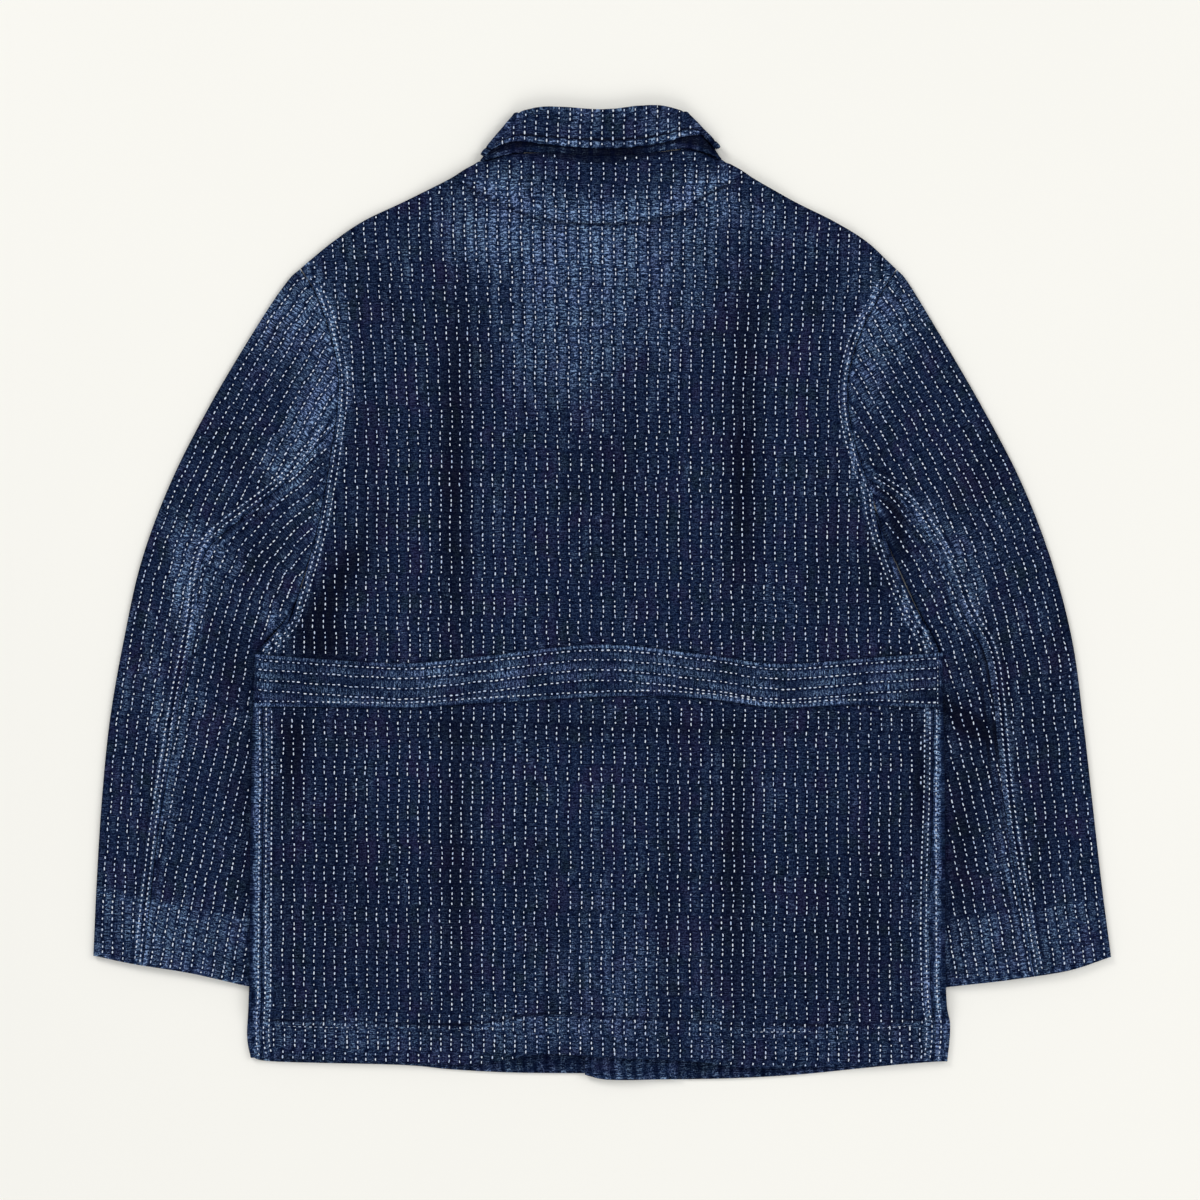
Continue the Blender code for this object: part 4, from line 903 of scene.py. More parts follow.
def make_front(side, word):
    """One front, from its turned edge on the back to its centre edge."""
    v = np.linspace(0, 1, FRONT_ROWS)
    y = body_edges(v)[side]
    turned = turn_columns(side, y)
    many, flat_columns = turned.shape[1], len(TURN_STEPS)
    start = turned[:, -1, :2]
    shoulder = inset(SHOULDERS[side], side, EDGE)[::-1]
    neck = inset(FRONT_NECKS[side], -side, TOP_STEPS[-1])
    top = np.vstack([shoulder, neck[1:]])
    top[:, 0] = -side * np.maximum.accumulate(-side * top[:, 0])
    hem = FRONT_HEMS[side]
    stop = FRONT_NECK[side][-1][0]
    end = np.column_stack([np.full(len(v), stop), top[-1, 1] + v * (hem[-1, 1] - top[-1, 1])])
    width = np.abs(end[:, :1] - start[:, :1])
    s = side * np.arange(int(HALF_WIDTH / (PITCH / 2)), -8, -1) * PITCH / 2
    inside = (side * s < side * start[:, :1] - 9.0) & (side * s > side * stop + 1.5)
    u = np.hstack([FRONT_RIM / width, np.abs(s - start[:, :1]) / width, np.ones_like(width)])
    u = np.clip(u, 0, 1)

    def across(line, first, last, u):
        x = first[0] + u * (last[0] - first[0])
        slope = (1 - u) * (first[1] - y_at(line, first[0])) + u * (last[1] - y_at(line, last[0]))
        return np.stack([x, y_at(line, x) + slope], axis=-1)

    flat = between(start, end, across(top, start[0], end[0], u), across(hem, start[-1], end[-1], u), u, v)
    ones = np.ones((len(v), many + len(FRONT_RIM)), bool)
    present = np.hstack([ones, inside, ones[:, :1]])
    flat[0, :, 1] = y_at(top, flat[0, :, 0])
    grid = np.hstack([turned, np.dstack([flat, front_inside(side, flat[..., 0], flat[..., 1])])])
    lifted = grid[:, :many].copy()
    grid[0, :many, 1] = y_at(top, grid[0, :many, 0])
    weight = 1 - smooth(0, 0.12, v)
    for j in range(many):
        shift = y_at(top, lifted[0, j, 0]) - lifted[0, j, 1]
        grid[:, j, 1] = lifted[:, j, 1] + shift * weight
    is_rolled = side * grid[0, :, 0] > side * FRONT_NECK[side][0][0] - 1
    grid, present = with_top(grid, present, is_rolled, 1)
    gx, gy = grid[..., 0], grid[..., 1]
    thick = np.full(gx.shape, CLOTH)
    on_back = np.zeros(gx.shape)
    on_back[len(TOP_ANGLES):, :flat_columns] = 1
    on_back[gy > full_turn(side)] = 0
    share = np.zeros(gx.shape[1])
    share[:flat_columns] = 1
    share[flat_columns - 1] = 0.4
    pucker = 0.16 * np.sin(math.tau * gy / 7.1 + 2 * np.sin(gy / 19))
    groove = 0.3 * np.isin(np.arange(gx.shape[1]), (1, 3))
    thick = thick + on_back * clear_of_belt(gy) * (RAISED * 0.6 * share + pucker - groove)
    reach = np.abs(gx - grid[:, many - 1: many, 0])
    wear = 0.25 + 0.5 * on_back + 0.2 * hump(gy, hem[:, 1].mean(), 12)
    wear = wear + 0.3 * hump(gy, y_at(hem, gx), 3) - 0.15 * (reach > 30)
    dark = 0.3 * smooth(6, 40, reach)
    return shell(f"front_{word}_panel", grid, present, thick, weave_vectors(*back_weave(gx, gy), 2 + side),
                 wear, dark, (0, 0, -1))


def sleeve_inside(side, x, y, from_outer):
    """The lower face of a sleeve's top layer, with the smaller creases on it."""
    beyond = side * (x - x_at(BODY[side], y))
    free = smooth(4, 50, beyond)
    ease = free * (EASE + folds(SLEEVE_FOLDS[side], x, y)) + (1 - free) * armhole_ease(side, y)
    small = smooth(3, 16, beyond) * (folds(SLEEVE_CREASES[side], x, y, -1, 3) + 0.3 * (1 + ripple(x, y)))
    cuff = y - y_at(CUFFS[side], x)
    small = small * smooth(0, 30, cuff)
    return CLOTH + EDGE_AIR + (ease + small) * smooth(0, 45, from_outer)


def sleeve_weave(side, x, y, under):
    """Across and along the rows of a sleeve's cloth."""
    return along_line(UNDER_ROWS[side][::3] if under else OUTER_LINES[side][::4], x, y)


def sleeve_wear(side, x, y):
    """How faded a sleeve's cloth is."""
    cuff = y - y_at(CUFFS[side], x)
    wear = blob(x, y, WORN) + 0.28 * (1 - smooth(50, 56, cuff)) + 0.35 * hump(cuff, 0, 3)
    wear = wear + 0.25 * hump(cuff, 52, 2)
    over, _ = along_line(SEAMS[side][::4], x, y)
    seam = hump(np.abs(over), 1.6, 1.6) + 0.7 * hump(np.abs(over), 7, 2.0)
    beyond = side * (x - x_at(BODY[side], y))
    armhole = hump(beyond, 2, 2.5) * (y > ARMHOLE[side][-1][1] - 20)
    return wear + 0.45 * seam + 0.35 * armhole + 0.05


def sleeve_painted_shade_and_dye(side, x, y):
    """How dark a sleeve is: painted shade in its folds and hollows with some unfaded dye, and dark lines
    beside its raised seam.
    """
    apart = np.abs(along_line(SEAMS[side][::4], x, y)[0])
    beside = hump(apart, 3.6, 0.9) + 0.8 * hump(apart, 9.6, 1.2)
    return blob(x, y, HOLLOW_SHADE_AND_DYE) + 0.7 * beside


def make_sleeve(side, word):
    """The two pieces of a flattened sleeve: the upper one passes round the outer edge to the underside."""
    table = np.array(SLEEVE_ROWS)
    outer, inner = OUTER_LINES[side], inset(INNERS[side], -side, EDGE)
    reach = np.diff(table, axis=0).mean(axis=1) * lengths(outer)[-1]
    knots = np.arange(len(table))
    index = np.concatenate([np.linspace(k, k + 1, max(1, round(r / 3.0)), endpoint=False)
                            for k, r in enumerate(reach)] + [[len(table) - 1]])
    shares = np.column_stack([np.interp(index, knots, table[:, k]) for k in (0, 1)])
    ends = {"outer": at(outer, shares[:, 0]), "inner": at(inner, shares[:, 1])}
    nearer, level, half = ARMPIT[side]
    ends["inner"][:, 0] -= side * nearer * hump(ends["inner"][:, 1], level, half)
    armhole = ARMHOLES[side] + (side * SEAM / 2, 0)
    cuff = CUFFS[side]
    down = shares.mean(axis=1)

    def first(u):
        line = at(armhole, u)
        from_start = (1 - u)[..., None] ** CORNER_POWER * (ends["outer"][0] - armhole[0])
        return line + from_start + u[..., None] ** CORNER_POWER * (ends["inner"][0] - armhole[-1])

    def last(u):
        line = at(cuff, u)
        from_start = (1 - u)[..., None] * (ends["outer"][-1] - cuff[0])
        return line + from_start + u[..., None] * (ends["inner"][-1] - cuff[-1])

    def plan(u):
        return between(ends["outer"], ends["inner"], first(u), last(u), u, down, 3)

    rows = plan(np.repeat(np.linspace(0, 1, 101)[None], len(shares), axis=0))
    width = np.linalg.norm(np.diff(rows, axis=1), axis=2).sum(axis=1)[:, None]
    tries = np.linspace(0.02, 0.98, 193)
    found = []
    for row in rows:
        points = at(row, tries)
        found.append(tries[np.argmin(np.abs(along_line(SEAMS[side][::3], points[:, 0], points[:, 1])[0]))])
    back_seam = np.convolve(np.pad(found, 2, "edge"), np.ones(5) / 5, "valid")[:, None]
    under_seam = np.interp(down, [0, 1], UNDER_SEAM)[:, None]
    gap = SEAM / 2 / width
    zero = np.zeros_like(width)

    def layer(u, upper):
        points = plan(u)
        height = np.full(u.shape, CLOTH)
        if upper:
            away, _ = along_line(outer[::2], points[..., 0], points[..., 1])
            height = sleeve_inside(side, points[..., 0], points[..., 1], np.abs(away))
        return np.dstack([points, height])

    def edge(name):
        away = across_of(tangents(ends[name])) * (side if name == "outer" else -side)
        turns = np.radians([150, 120, 90, 60, 30])
        out = ends[name][:, None] + INNER_ROLL * np.sin(turns)[None, :, None] * away[:, None]
        rise = CLOTH + INNER_ROLL * (1 - np.cos(turns))
        return np.dstack([out, np.repeat(rise[None], len(out), axis=0)])

    ridge = back_seam - gap - SLEEVE_RIM / width
    s = (np.arange(1, 70) - 0.5) * COLUMN
    inside = (s[::-1] / width) < ridge[:, -1:] - RIM_GAP / width
    top = np.hstack([ridge, np.clip(s[::-1] / width, 0, 1), zero])
    below = (under_seam - gap) * np.linspace(0, 1, 26)
    upper = np.concatenate([layer(top, True), edge("outer"), layer(below, False)], axis=1)
    present = np.ones(upper.shape[:2], bool)
    present[:, len(ridge[0]): len(ridge[0]) + len(s)] = inside
    beside = back_seam + gap + UNDER_RIM / width
    inner_u = np.hstack([beside, beside[:, -1:] + (1 - beside[:, -1:]) * np.linspace(0, 1, 38)[1:]])
    below = zero + 1 - (1 - under_seam - gap) * np.linspace(0, 1, 12)
    under = np.concatenate([layer(inner_u, True), edge("inner"), layer(below, False)], axis=1)
    made = []
    for name, grid, there, is_under in (("upper", upper, present, False),
                                        ("under", under, np.ones(under.shape[:2], bool), True)):
        gx, gy = grid[..., 0], grid[..., 1]
        on_top = grid[..., 2] > CLOTH + EDGE_AIR - 0.02
        relief = sleeve_relief(side, gx, gy, is_under)
        thick = CLOTH + np.where(on_top, relief, 0)
        weave = weave_vectors(*sleeve_weave(side, gx, gy, is_under), 4 + side + 4 * is_under,
                              0 if is_under else PITCH / 2)
        made.append(shell(f"sleeve_{word}_{name}_panel", grid, there, thick, weave, sleeve_wear(side, gx, gy),
                          sleeve_painted_shade_and_dye(side, gx, gy) + 0.25 * ~on_top, (0, 0, 1)))
    return made


def sleeve_relief(side, x, y, is_under):
    """What stands proud of a sleeve's plain outer face."""
    over, run = along_line(SEAMS[side][::2], x, y)
    apart = np.abs(over)
    beyond = side * (x - x_at(BODY[side], y))
    cuff = y - y_at(CUFFS[side], x)
    band = (1 - smooth(50.5, 53.5, cuff)) * smooth(2, 10, beyond)
    pucker = 0.16 * np.sin(math.tau * run / 7.7 + 2 * np.sin(run / 21)) * (1 - smooth(10, 18, apart))
    height = pucker + RAISED * band - 0.35 * hump(cuff, CUFF_ROW, 0.9) * smooth(2, 10, beyond)
    if not is_under:
        ridge = 1 - smooth(7.0, 9.0, apart)
        groove = hump(apart, 2.4, 0.8) + hump(apart, 6.6, 0.8)
        height = height + 0.8 * RAISED * ridge * (1 - band) - 0.3 * groove
        s, _ = sleeve_weave(side, x, y, False)
        return height - FURROW * smooth(9, 12, apart) * furrow(s - PITCH / 2)
    s, _ = sleeve_weave(side, x, y, True)
    return height + smooth(2, 5, apart) * (-0.2 * furrow(s)) - 0.25 * hump(apart, 2.2, 0.9)


def make_collar():
    """The collar: stand and leaf folded together, round the neck from one front end to the other."""
    stations = []
    for points in COLLAR_FRONT[::-1]:
        stations.append((-1, -90, *((-x, y) for x, y in points)))
    stations += [(-1, angle, *COLLAR_TURN[-1]) for angle in TURN_ANGLES[::-1]]
    stations += [(0, 90, *points) for points in COLLAR_BACK]
    stations += [(1, angle, *COLLAR_TURN[1]) for angle in TURN_ANGLES]
    stations += [(1, -90, *points) for points in COLLAR_FRONT]
    rows = []
    for side, angle, stand, fold, leaf in stations:
        tilt = math.radians(angle)
        out = np.array([side * math.cos(tilt), 0.25 * abs(side) * math.cos(tilt), math.sin(tilt)])
        rows.append([*unit(out), *stand, *fold, *leaf])
    rows = np.array(rows)
    fine = []
    for k in range(len(rows) - 1):
        step = max(np.hypot(*(rows[k + 1, 5:7] - rows[k, 5:7])), np.hypot(*(rows[k + 1, 7:9] - rows[k, 7:9])))
        fine += list(np.linspace(k, k + 1, max(3, int(step / 2.6)), endpoint=False))
    fine = np.array(fine + [len(rows) - 1])
    smoothed = curve(rows, 32)
    knots = np.linspace(0, len(rows) - 1, len(smoothed))
    table = np.column_stack([np.interp(fine, knots, smoothed[:, k]) for k in range(9)])
    axis_level, axis_radius, _ = collar_level()
    grid, shares = [], []
    for row in table:
        out = unit(row[:3])
        ends = [np.array([*row[k: k + 2], axis_level]) + axis_radius * out for k in (3, 5, 7)]
        up = unit(ends[1] - ends[0])
        line = [ends[0] + share * (ends[1] - ends[0]) - out * COLLAR_AIR / 2
                for share in np.linspace(-0.03, 0.97, STAND_COLUMNS)]
        for bend in np.radians(np.linspace(-90, 90, FOLD_COLUMNS)):
            line.append(ends[1] + COLLAR_AIR / 2 * (math.sin(bend) * out + math.cos(bend) * up))
        leaf = ends[2] - ends[1]
        size = np.linalg.norm(leaf)
        places = np.append(np.linspace(0.05, 1 - 10.0 / size, 10), 1 - LEAF_RIM / size)
        places = places * (1 + LEAF_MORE * (1 - smooth(60, 84, abs(row[7]))) / size)
        line += [ends[1] + share * leaf + out * COLLAR_AIR / 2 for share in places]
        grid.append(line)
        shares.append([*np.linspace(-40, -2, STAND_COLUMNS), *np.linspace(-1, 1, FOLD_COLUMNS),
                       *(places * size)])
    grid, down = np.array(grid), np.array(shares)
    run = np.repeat(lengths(grid[:, LEAF_START])[:, None], grid.shape[1], axis=1)
    from_leaf = down[:, -1:] - down
    is_leaf = (np.arange(grid.shape[1]) >= LEAF_START)[None] * np.ones((len(grid), 1))
    groove = hump(from_leaf, 6.8, 1.1) * is_leaf
    rounded = 0.6 * (1 - smooth(0, 1.8, from_leaf)) * is_leaf
    pucker = 0.14 * np.sin(math.tau * run / 7.0) * hump(from_leaf, 5, 5) * is_leaf
    calm = 1 - smooth(76, 88, np.abs(grid[..., 0]))
    across = grid[..., 0] / COLLAR_STRETCH
    thick = COLLAR_WALL - 0.6 * groove - rounded - 0.25 * furrow(across) * is_leaf * calm
    thick = thick + (pucker + 0.12 * ripple(grid[..., 0] * 2, grid[..., 1] * 2)) * calm
    wear = 0.2 + 0.3 * hump(down, 0, 4) + 0.7 * hump(from_leaf, 3.0, 2.4) * is_leaf * calm
    wear = wear + 0.2 * ripple(grid[..., 0], grid[..., 1])
    # Painted shadow of the leaf on the stand, weaker at its foot towards the sides, and painted shade in the
    # leaf's stitch groove
    foot_less_shade = 0.8 * (1 - smooth(-37, -33, down)) * smooth(15, 50, np.abs(grid[..., 0]))
    dark = 1.25 * (1 - is_leaf) * (1 - smooth(-8, -3, down)) * (1 - foot_less_shade) + 1.4 * groove
    present = np.ones(grid.shape[:2], bool)
    foot = y_at(curve([points[2] for points in COLLAR_BACK]), grid[..., 0])
    along = grid[..., 1] - foot - 0.5 + ROWS_START
    return shell("collar_band", grid, present, thick, weave_vectors(across, along, 11), wear, dark, (0, 1, 0))


def belt_inside(x, y):
    """The lower face of the belt, which lies on the back."""
    return back_inside(x, y) + CLOTH + BELT_AIR


def belt_edges(x):
    """The belt's top and foot at these places."""
    return y_at(BELT_TOP_LINE, x), y_at(BELT_FOOT_LINE, x)


def belt_relief(x, y):
    """What stands proud of the belt's plain outer face."""
    top, foot = belt_edges(x)
    share = (y - foot) / (top - foot)
    rim = np.minimum(share, 1 - share) * (top - foot)
    ridge = RAISED * (1 - smooth(3.4, 5.0, rim)) * smooth(-0.4, 1.2, rim)
    groove = 0.4 * hump(rim, 4.4, 0.8)
    pucker = 0.14 * np.sin(math.tau * x / 7.9 + 2 * np.sin(x / 27)) * hump(rim, 0, 7)
    ribs = 0.08 * np.cos(math.tau * x / 4.5)
    end = np.minimum(x - BELT_ENDS[0], BELT_ENDS[1] - x)
    end_groove = 0.35 * hump(end, 4, 0.9)
    return ridge - groove + pucker + ribs - end_groove - 0.2 * furrow(y - foot - PITCH / 2)


def make_belt():
    """The belt across the waist."""
    x = np.linspace(*BELT_ENDS, 220)[:, None]
    top, foot = belt_edges(x)
    y = top + BELT_COLUMNS * (foot - top)
    x = x + 0 * y
    grid = np.dstack([x, y, belt_inside(x, y)])
    thick = CLOTH + belt_relief(x, y)
    rim = np.minimum(BELT_COLUMNS, 1 - BELT_COLUMNS)[None] * (top - foot)
    wear = 0.22 + 0.5 * hump(rim, 1.6, 1.6) + 0.16 * ripple(x, y) + 0.3 * smooth(-262, -274, x)
    wear = wear + 0.2 * blob(x, y, BELT_WORN)
    rows = (top - y - BELT_ROWS[0]) / (BELT_ROWS[2] - BELT_ROWS[1])
    # The belt's dark attribute is painted shade from the folds and hollows table, with some unfaded dye
    return shell("belt_band", grid, np.ones(x.shape, bool), thick, cloth_points(rows, x, 13), wear,
                 0.6 * blob(x, y, HOLLOW_SHADE_AND_DYE), (0, 0, 1))


def make_facing():
    """The turned-in edge of the right front."""
    y = np.concatenate([np.linspace(FACING_TOP, FACING_TURN + 3, 150),
                        np.linspace(FACING_TURN, FACING_FOOT, 20)])[:, None]
    u = np.linspace(0, 1, 14)
    x = FACING_EDGES[0] + (FACING_EDGES[1] - FACING_EDGES[0]) * u + 0 * y
    low = y_at(FRONT_HEMS[1], x[-1])
    drop = smooth(FACING_TURN, FACING_FOOT, y)
    y = y * (1 - drop) + (low + 0.4) * drop + 0 * x
    grid = np.dstack([x, y, front_inside(1, x, y) + 2 * LAYER_GAP])
    thick = np.full(x.shape, CLOTH) + 0.12 * np.sin(math.tau * y / 8) * (u > 0.9)
    wear = 0.3 + 0.3 * hump(y, low, 6)
    return shell("facing_right_strip", grid, np.ones(x.shape, bool), thick,
                 weave_vectors(*back_weave(x, y), 15), wear, 0.1 + 0 * x, (0, 0, 1))


def stitch_places(number, stop, start=ROWS_START):
    """The stations of one row's stitches down its length: place, length and sideways step of each."""
    places = []
    run = start
    block = 0
    while run < stop:
        step, pitch, even, odd = BLOCKS[block % len(BLOCKS)]
        for size in odd if number % 2 else even:
            places.append((run + pitch / 2, size, step))
            run += pitch
        block += 1
        run += BLOCK_GAP
    return np.array(places)


def stitch_rows(line, offsets, total, seed):
    """Stitches in rows that keep their distance from a line: centres, directions and lengths."""
    random = np.random.default_rng(seed)
    run = lengths(line)
    along = tangents(line)
    centres, ways, sizes = [], [], []
    for number, offset in offsets:
        table = stitch_places(number, total)
        place = table[:, 0] + ROW_SLIP * offset + random.normal(0, 0.18, len(table))
        aside = offset + table[:, 2] + random.normal(0, 0.14, len(table))
        aside = aside + 0.5 * np.sin(table[:, 0] / 61 + number)
        way = unit(np.column_stack([np.interp(place, run, along[:, k]) for k in (0, 1)]))
        ahead = np.clip(place, 0, run[-1]) - place
        spot = np.column_stack([np.interp(place, run, line[:, k]) for k in (0, 1)]) - ahead[:, None] * way
        turn = random.normal(0, 0.10, len(table))
        centres.append(spot + aside[:, None] * across_of(way))
        ways.append(way + turn[:, None] * across_of(way))
        sizes.append(table[:, 1] * random.uniform(0.88, 1.08, len(table)))
    return np.vstack(centres), np.vstack(ways), np.concatenate(sizes)


# A stitch's grain: its corners along, across and up, and its faces
GRAIN = np.array([(-1, 0, 0), (-0.58, -1, 0), (-0.5, 0, 1), (-0.58, 1, 0), (0.58, -1, 0), (0.5, 0, 1),
                  (0.58, 1, 0), (1, 0, 0)])
GRAIN_FACES = [(0, 1, 2), (0, 2, 3), (0, 3, 1), (1, 4, 5, 2), (2, 5, 6, 3), (1, 3, 6, 4), (7, 5, 4),
               (7, 6, 5), (7, 4, 6)]
# A coarser grain, and how deep both lie in the cloth
KITE = np.array([(-1, 0, 0), (0, -1, 0), (0, 0, 1), (0, 1, 0), (1, 0, 0)])
KITE_FACES = [(0, 1, 2), (0, 2, 3), (0, 3, 1), (4, 2, 1), (4, 3, 2), (4, 1, 3)]
STITCH_SUNK = 0.12


def sew(name, centres, ways, sizes, surface, width=1.4, height=0.62, up=1):
    """Stitches as one mesh of small closed grains on a surface, a function of X and Y: coarse if below it."""
    shape, faces = (GRAIN, GRAIN_FACES) if up == 1 else (KITE, KITE_FACES)
    random = np.random.default_rng(len(centres))
    wide = width * random.uniform(0.68, 1.12, len(centres)) / 2
    sizes = sizes * random.uniform(0.82, 1.08, len(centres))
    flat = (centres[:, None] + shape[None, :, :1] * (sizes / 2)[:, None, None] * ways[:, None]
            + shape[None, :, 1:2] * wide[:, None, None] * across_of(ways)[:, None])
    lift = shape[None, :, 2] * height - STITCH_SUNK
    z = surface(flat[..., 0], flat[..., 1]) + up * lift
    points = np.dstack([flat, z]).reshape(-1, 3)
    base = (np.arange(len(centres)) * len(shape))[:, None]
    every = []
    for face in faces:
        every += (base + np.array(face[::up])).tolist()
    return add_mesh(name, points, every)


def back_outside(x, y):
    """The outer face of the back panel."""
    return back_inside(x, y) + CLOTH + back_relief(x, y)


def off_belt(x, y, margin=1.0):
    """Which of the points are clear of the belt."""
    top, foot = belt_edges(x)
    return (y >= top + margin) | (y <= foot - margin)


def body_rows(numbers, seed):
    """The body's stitches in the rows of these numbers: centres, directions and lengths."""
    line = at(np.array([(0.0, ROWS_TOP), (0.0, -400.0)]), np.linspace(0, 1, 60))
    centres, ways, sizes = stitch_rows(line, [(k, k * PITCH) for k in numbers], 800, seed)
    x, y = centres.T
    return row_x(x, y), y, ways, sizes


def back_stitches():
    """The rows of stitches on the back, in the cloth between the seams and on the hem."""
    x, y, ways, sizes = body_rows(range(-33, 34), 3)
    top = np.vstack([SHOULDERS[-1][::-1], NECK[1:-1], SHOULDERS[1]])
    keep = (from_edge(x, y) > RIDGE_CLEAR) & off_belt(x, y, 1.2)
    keep &= (y < y_at(top, x) - 1.9) & (y > y_at(HEM, x) + 3)
    turn = lean(y + 5) - lean(y - 5)
    ways = unit(ways + np.column_stack([-turn * x / 10, 0 * x]))
    centres, ways, sizes = [np.column_stack([x, y])[keep]], [ways[keep]], [sizes[keep]]
    for side in (-1, 1):
        for depth, phase in zip(RIDGE_ROWS, (0.0, 1.9)):
            y = np.arange(EDGE_ROWS[side][-1] + 4, EDGE_ROWS[side][0] - 4, 4.1) + phase
            x = x_at(BODY[side], y) - side * (edge_depth(side, y) + depth)
            ahead = x_at(BODY[side], y + 1) - side * (edge_depth(side, y + 1) + depth) - x
            keep = off_belt(x, y)
            centres.append(np.column_stack([x, y])[keep])
            ways.append(unit(np.column_stack([ahead, 0 * ahead + 1]))[keep])
            sizes.append(np.full(keep.sum(), RIDGE_STITCH))
    white = sew("back_stitches", np.vstack(centres), np.vstack(ways), np.concatenate(sizes), back_outside)
    x = np.arange(-262, 262, 4.3)
    hem = y_at(HEM, x)
    way = unit(np.column_stack([np.ones(len(x)), y_at(HEM, x + 1) - hem]))
    seam = sew("back_seam_thread", np.column_stack([x, hem + HEM_ROW]), way, np.full(len(x), 2.7),
               back_outside, 0.8, 0.4)
    return white, seam


def sleeve_outside(side, is_under):
    """The outer face of a sleeve's top layer, as a function of X and Y."""
    def surface(x, y):
        over, _ = along_line(OUTER_LINES[side][::2], x, y)
        return sleeve_inside(side, x, y, np.abs(over)) + CLOTH + sleeve_relief(side, x, y, is_under)
    return surface


def sleeve_places(side, x, y):
    """How far the points are from the cuff, the body, and the sleeve's outer and inner edges."""
    return (y - y_at(CUFFS[side], x), side * (x - x_at(BODY[side], y)),
            -side * along_line(OUTER_LINES[side], x, y)[0], side * along_line(INNERS[side], x, y)[0])


def sleeve_stitches(side, word):
    """The rows of stitches on the upper side of a sleeve."""
    made = []
    for name, is_under in (("upper", False), ("under", True)):
        line = at((UNDER_ROWS if is_under else OUTER_LINES)[side], np.linspace(0, 1, 160))
        offsets = [(k, k * PITCH) for k in range(-16, 17)]
        if not is_under:
            offsets = [(k, -side * (k + 0.5) * PITCH) for k in range(19)]
        centres, ways, sizes = stitch_rows(line, offsets, lengths(line)[-1] + 60, 5 + side + 10 * is_under)
        x, y = centres.T
        over = side * along_line(SEAMS[side], x, y)[0]
        cuff, beyond, in_outer, in_inner = sleeve_places(side, x, y)
        keep = (beyond > 2.2) & (cuff > 2.5) & (in_outer > 0.8) & (y < ARMHOLE[side][0][1] - 3)
        keep &= ((over < -1.5) & (in_inner > 3.5)) if is_under else (over > RIDGE_CLEAR)
        centres, ways, sizes = centres[keep], ways[keep], sizes[keep]
        if not is_under:
            line = SEAMS[side]
            run = lengths(line)
            for depth, phase in ((2.6, 6.0), (6.9, 8.0)):
                share = np.arange(phase, run[-1] - 3, 4.2) / run[-1]
                way = at(tangents(line), share)
                spot = at(line, share) + depth * side * across_of(way)
                clear = (spot[:, 1] - y_at(CUFFS[side], spot[:, 0]) > 3)
                clear &= side * (spot[:, 0] - x_at(BODY[side], spot[:, 1])) > 2.5
                centres = np.vstack([centres, spot[clear]])
                ways = np.vstack([ways, way[clear]])
                sizes = np.concatenate([sizes, np.full(clear.sum(), RIDGE_STITCH)])
        made.append(sew(f"sleeve_{word}_{name}_stitches", centres, ways, sizes,
                        sleeve_outside(side, is_under)))
    return made


def sleeve_lower_stitches(side, word):
    """The rows of stitches on the side of a sleeve that lies on the surface."""
    made = []
    for name, is_under in (("upper", False), ("under", True)):
        line = at(OUTER_LINES[side], np.linspace(0, 1, 160))
        rows = range(11, 30) if is_under else range(0, 13)
        offsets = [(k, -side * (k + 0.5) * PITCH) for k in rows]
        centres, ways, sizes = stitch_rows(line, offsets, lengths(line)[-1], 40 + side)
        x, y = centres.T
        cuff, beyond, in_outer, in_inner = sleeve_places(side, x, y)
        share = in_outer / np.maximum(in_outer + in_inner, 1)
        seam = UNDER_SEAM[0] + (UNDER_SEAM[1] - UNDER_SEAM[0]) * np.clip((260 - y) / 560, 0, 1)
        keep = (cuff > 2.5) & ((beyond > 2.5) | (y < ARMHOLE[side][-1][1] - 30))
        keep &= (in_outer > 1.5) & (in_inner > 3)
        keep &= (share > seam + 0.03) if is_under else (share < seam - 0.03)
        made.append(sew(f"sleeve_{word}_{name}_lower_stitches", centres[keep], ways[keep], sizes[keep],
                        lambda a, b: 0 * a, height=LOW_STITCH, up=-1))
    return made


def front_stitches(side, word):
    """The rows of stitches on a front, and along its turned edge on the back."""
    x, y, ways, sizes = body_rows(range(1, 34) if side == 1 else range(-33, 3), 21 + side)
    top = np.vstack([SHOULDERS[side][::-1], FRONT_NECKS[side]])
    keep = (side * x < side * x_at(BODY[side], y) - 4) & (side * x > side * FRONT_NECK[side][-1][0] + 3)
    keep &= (y < y_at(top, x) - 4) & (y > y_at(FRONT_HEMS[side], x) + 3)
    lower = sew(f"front_{word}_stitches", np.column_stack([x, y])[keep], ways[keep], sizes[keep],
                lambda a, b: front_inside(side, a, b) - CLOTH, height=LOW_STITCH, up=-1)
    y = np.arange(EDGE_ROWS[side][-1] + 3, full_turn(side) - 2, 4.2)
    depth = np.minimum(wrap_at(side, y) - 2.4, 7.6)
    x = x_at(BODY[side], y) - side * depth
    keep = (depth > 2.8) & off_belt(x, y)
    ahead = x_at(BODY[side], y + 1) - x_at(BODY[side], y)
    way = unit(np.column_stack([ahead, 0 * ahead + 1]))
    upper = sew(f"front_{word}_edge_stitches", np.column_stack([x, y])[keep], way[keep],
                np.full(keep.sum(), RIDGE_STITCH), lambda a, b: back_inside(a, b) + CLOTH + 0.3)
    return lower, upper


def belt_outside(x, y):
    """The outer face of the belt."""
    return belt_inside(x, y) + CLOTH + belt_relief(x, y)


